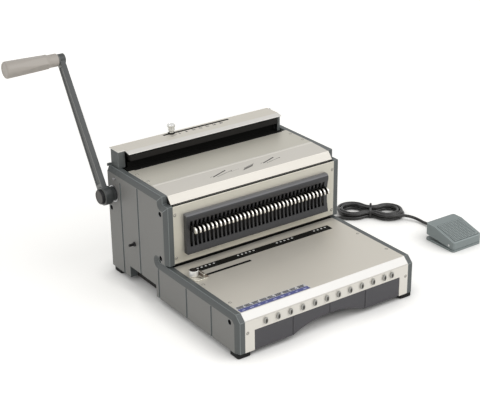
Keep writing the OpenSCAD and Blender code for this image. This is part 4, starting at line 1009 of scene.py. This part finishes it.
def trim_strips():
    """The top cover's bend, paler as a painted highlight, and its black strips of painted shade; the face
    plate's hem; and the front panel's crease, a line of painted shade.
    """
    for name, key, strips in TRIM:
        bm = bmesh.new()
        for half, section in strips:
            rings = [[bm.verts.new(vec(x, y, z)) for y, z in section] for x in (-half, half)]
            loft(bm, rings)
            for ring in rings:
                bm.faces.new(ring)
        piece_of(name, bm, "machine", [key], sharp=60)


# Pull knob: half width, half height and distance from the panel of each ring
KNOB_ROD = [(2.0, 2.0, -14), (2.0, 2.0, 0.3)]
KNOB_HEAD = [
    (3.0, 4.3, 0.35), (3.8, 5.5, 0.8), (4.0, 5.9, 1.5), (4.0, 5.9, 2.3), (3.7, 5.6, 3.0), (3.0, 4.8, 3.6),
    (2.0, 3.8, 3.9)]
# The recess takes the faint finish: painted shade.
KNOB_RECESS = [(1.0, 3.2, 3.8), (0.8, 2.9, 3.3), (0.5, 2.4, 3.1)]
KNOB_FINISH = [1] + [0] * len(KNOB_HEAD) + [2] * len(KNOB_RECESS)
KNOB_SIDES = 32
KNOB_PEAK = 1.1


def pull_knob(name, body):
    """Oval pull knob with a recess darkened as painted shade, on the stub of its rod."""
    box = [nodes[name].matrix_world @ Vector(corner) for corner in nodes[name].bound_box]
    x = (min(p.x for p in box) + max(p.x for p in box)) / 2 / MM
    z = (min(p.z for p in box) + max(p.z for p in box)) / 2 / MM
    bm = bmesh.new()
    rings = []
    for wide, tall, out in KNOB_ROD + KNOB_HEAD + KNOB_RECESS:
        ring = []
        for k in range(KNOB_SIDES):
            a = 2 * math.pi * k / KNOB_SIDES
            peak = KNOB_PEAK if tall > wide and math.cos(a) > 0 else 1.0
            place = vec(x + wide * math.sin(a), Y_FRONT - out, z + peak * tall * math.cos(a))
            ring.append(bm.verts.new(place))
        rings.append(ring)
    loft(bm, rings, KNOB_FINISH)
    bm.faces.new(rings[0]).material_index = 1
    bm.faces.new(rings[-1]).material_index = 2
    piece = piece_of(name + "_knob", bm, body, ["pin", "steel", "faint"])
    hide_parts(name)


def guide_gusset():
    """Folded gussets that stiffen the margin guide's fence."""
    bm = bmesh.new()
    x0, x1, low, high = -155.3, -146.6, 79.85, 87.0
    thick = 1.6
    outline = (
        (x0, low), (x1, low), (x1, low + 0.8), (x1 - 1.2, low + 1.6), (x0 + 1.6, high - 0.6), (x0, high))
    for y in (-57.6, -42.8):
        rings = [[bm.verts.new(vec(x, y + dy, z)) for x, z in outline] for dy in (0, thick)]
        loft(bm, rings)
        for ring in rings:
            bm.faces.new(ring)
    piece_of("guide_gusset", bm, "guide", ["fence"], sharp=25)


def gland_ribs():
    """Ribs of the two strain reliefs."""
    bm = bmesh.new()
    count = 6
    rib = ((0, -0.3), (0.2, 0.7), (0.6, 0.7), (0.8, -0.3))
    for place, start, stop, big, small in (
            ((65, Y_REAR, 20), 5, 27, 6.5, 4.3), ((410, -45.5, 7), 3.5, 17, 5.4, 4.1)):
        profile = []
        for i in range(count):
            for part, lift in rib:
                d = start + (stop - start) * (i + part) / count
                r = big + (small - big) * (d - start) / (stop - start)
                profile.append((r + lift, d))
        turned(bm, profile, place, (0, 1, 0), sides=32)
    piece_of("gland_ribs", bm, "machine", ["black"])


def tie_wire(bm, path, radius, sides=8):
    """A closed tube along a short path."""
    rings = []
    for i, p in enumerate(path):
        ahead = heading(path, i)
        side = ahead.cross(Vector((0, 0, 1))).normalized()
        rings.append(round_ring(bm, p, side, ahead.cross(side), radius, sides))
    loft(bm, rings)
    bm.faces.new(rings[0])
    bm.faces.new(rings[-1])


def lead_tie():
    """Wire tie round the hank: a flat band with rounded corners and two twisted ends."""
    bm = bmesh.new()
    half, low, high, r, thick = 22.0, 0.35, 13.9, 3.2, 0.8
    outline = []
    for cy, cz, start in (
            (half - r, high - r, 0), (-half + r, high - r, 90), (-half + r, low + r, 180),
            (half - r, low + r, 270)):
        for k in range(6):
            a = math.radians(start + 90 * k / 5)
            outline.append((cy, cz, math.cos(a), math.sin(a)))
    section = [(-2.4, 0), (-2.0, thick), (2.0, thick), (2.4, 0), (2.0, -0.1), (-2.0, -0.1)]
    rings = []
    for cy, cz, c, s in outline:
        ring = []
        for x, lift in section:
            y, z = cy + (r + lift) * c, cz + (r + lift) * s
            ring.append(bm.verts.new(Vector(hank_place(x, y, z)) * MM))
        rings.append(ring)
    loft(bm, rings + rings[:1])
    twist, steps, reach, wire_r = 5.5 * math.pi, 24, 9, 0.8
    for phase in (0, math.pi):
        path = []
        for i in range(steps + 1):
            t = i / steps
            a = phase + twist * t
            rise = 1.6 + 2.5 * math.sin(1.7 * t)
            path.append(Vector(hank_place(math.cos(a), 4 + reach * t + math.sin(a), high + rise)))
        tie_wire(bm, path, wire_r)
    piece = piece_of("lead_tie", bm, "machine", ["cord"])
    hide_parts("cord_tie")
    return piece


PIN_COUNT = 12
ruler_marks()
size_table()
cover_sketches()
closer_scale()
stop_knob()
guide_drum()
hub_button()
hand_grip()
hole_shade_cups()
screw_details()
rear_screws()
treadle_grid()
arm_inlay()
shaft_washer()
slot_shade_linings()
cap_shade_lining()
trim_strips()
for i in range(1, PIN_COUNT + 1):
    pull_knob("pull_pin_%d" % i, "pin_%d" % i)
guide_gusset()
gland_ribs()
tie = lead_tie()


# Studio
LAMP_TARGET = (0, 0, 0.1)
LAMPS = [("key", (1.5, -2.0, 2.5), 3.0, 43), ("fill", (-2.4, -1.2, 1.5), 2.2, 18)]
SKY_LIGHT = 0.5
SKY_SEEN = 1.0
FLOOR_HALF = 6
FLOOR_Z = -0.0005
FLOOR_COLOUR = (0.85, 0.848, 0.838)
GLOW_COLOUR = (1, 0.985, 0.945, 1)
GLOW = 0.46
CONTACT_REACH = 0.045
CONTACT_POWER = 1.6
# How the glow grows with the distance from the middle: (metres, factor)
GLOW_NEAR = (1.0, 1.0)
GLOW_FAR = (3.0, 2.4)


def area_light(name, place, size, power):
    lamp = bpy.data.lights.new(name, "AREA")
    lamp.shape = "DISK"
    lamp.size = size
    lamp.energy = power
    piece = bpy.data.objects.new(name, lamp)
    scene.collection.objects.link(piece)
    piece.location = place
    piece.rotation_euler = (Vector(LAMP_TARGET) - Vector(place)).to_track_quat("-Z", "Y").to_euler()


def seen_ray(tree):
    """1 for rays that come from the camera, a mirror image or through glass, else 0."""
    ray = tree.nodes.new("ShaderNodeLightPath")
    mirrored = math_node(tree, "MAXIMUM", ray.outputs["Is Camera Ray"], ray.outputs["Is Glossy Ray"])
    return math_node(tree, "MAXIMUM", mirrored, ray.outputs["Is Transmission Ray"])


def sky():
    """White to the eye, and a soft even light on the part."""
    world = bpy.data.worlds.new("studio")
    scene.world = world
    world.use_nodes = True
    tree = world.node_tree
    back = tree.nodes["Background"]
    back.inputs["Color"].default_value = (1, 1, 1, 1)
    level = shader_node(
        tree, "ShaderNodeMapRange", Value=seen_ray(tree), To_Min=SKY_LIGHT, To_Max=SKY_SEEN)
    feed(tree, level.outputs["Result"], back.inputs["Strength"])


def floor_paper():
    """Pale paper that looks white, with the part's shadow and a deeper one where it touches."""
    paper = surface("floor", FLOOR_COLOUR, rough=0.9, spread=0.01, bump=0.0, specular=0.1)
    tree = paper.node_tree
    shader = tree.nodes["Principled BSDF"]
    shader.inputs["Emission Color"].default_value = GLOW_COLOUR
    glow = shader_node(tree, "ShaderNodeMapRange", Value=seen_ray(tree), To_Min=0.0, To_Max=GLOW)
    near = shader_node(tree, "ShaderNodeAmbientOcclusion", Distance=CONTACT_REACH)
    deep = math_node(tree, "POWER", near.outputs["AO"], CONTACT_POWER)
    shaded = math_node(tree, "MULTIPLY", glow.outputs["Result"], deep)
    reach = tree.nodes.new("ShaderNodeVectorMath")
    reach.operation = "LENGTH"
    feed(tree, object_place(tree), reach.inputs[0])
    far = shader_node(
        tree, "ShaderNodeMapRange", Value=reach.outputs["Value"], From_Min=GLOW_NEAR[0],
        From_Max=GLOW_FAR[0], To_Min=GLOW_NEAR[1], To_Max=GLOW_FAR[1])
    level = math_node(tree, "MULTIPLY", shaded, far.outputs["Result"])
    feed(tree, level, shader.inputs["Emission Strength"])
    return paper


def studio():
    sky()
    for name, place, size, power in LAMPS:
        area_light(name, place, size, power)
    mesh = bpy.data.meshes.new("floor")
    corners = [(x * FLOOR_HALF, y * FLOOR_HALF, FLOOR_Z) for x, y in SQUARE]
    mesh.from_pydata(corners, [], [(0, 1, 2, 3)])
    floor = add_object("floor", mesh)
    floor.data.materials.append(floor_paper())


studio()
scene.view_settings.view_transform = "Standard"
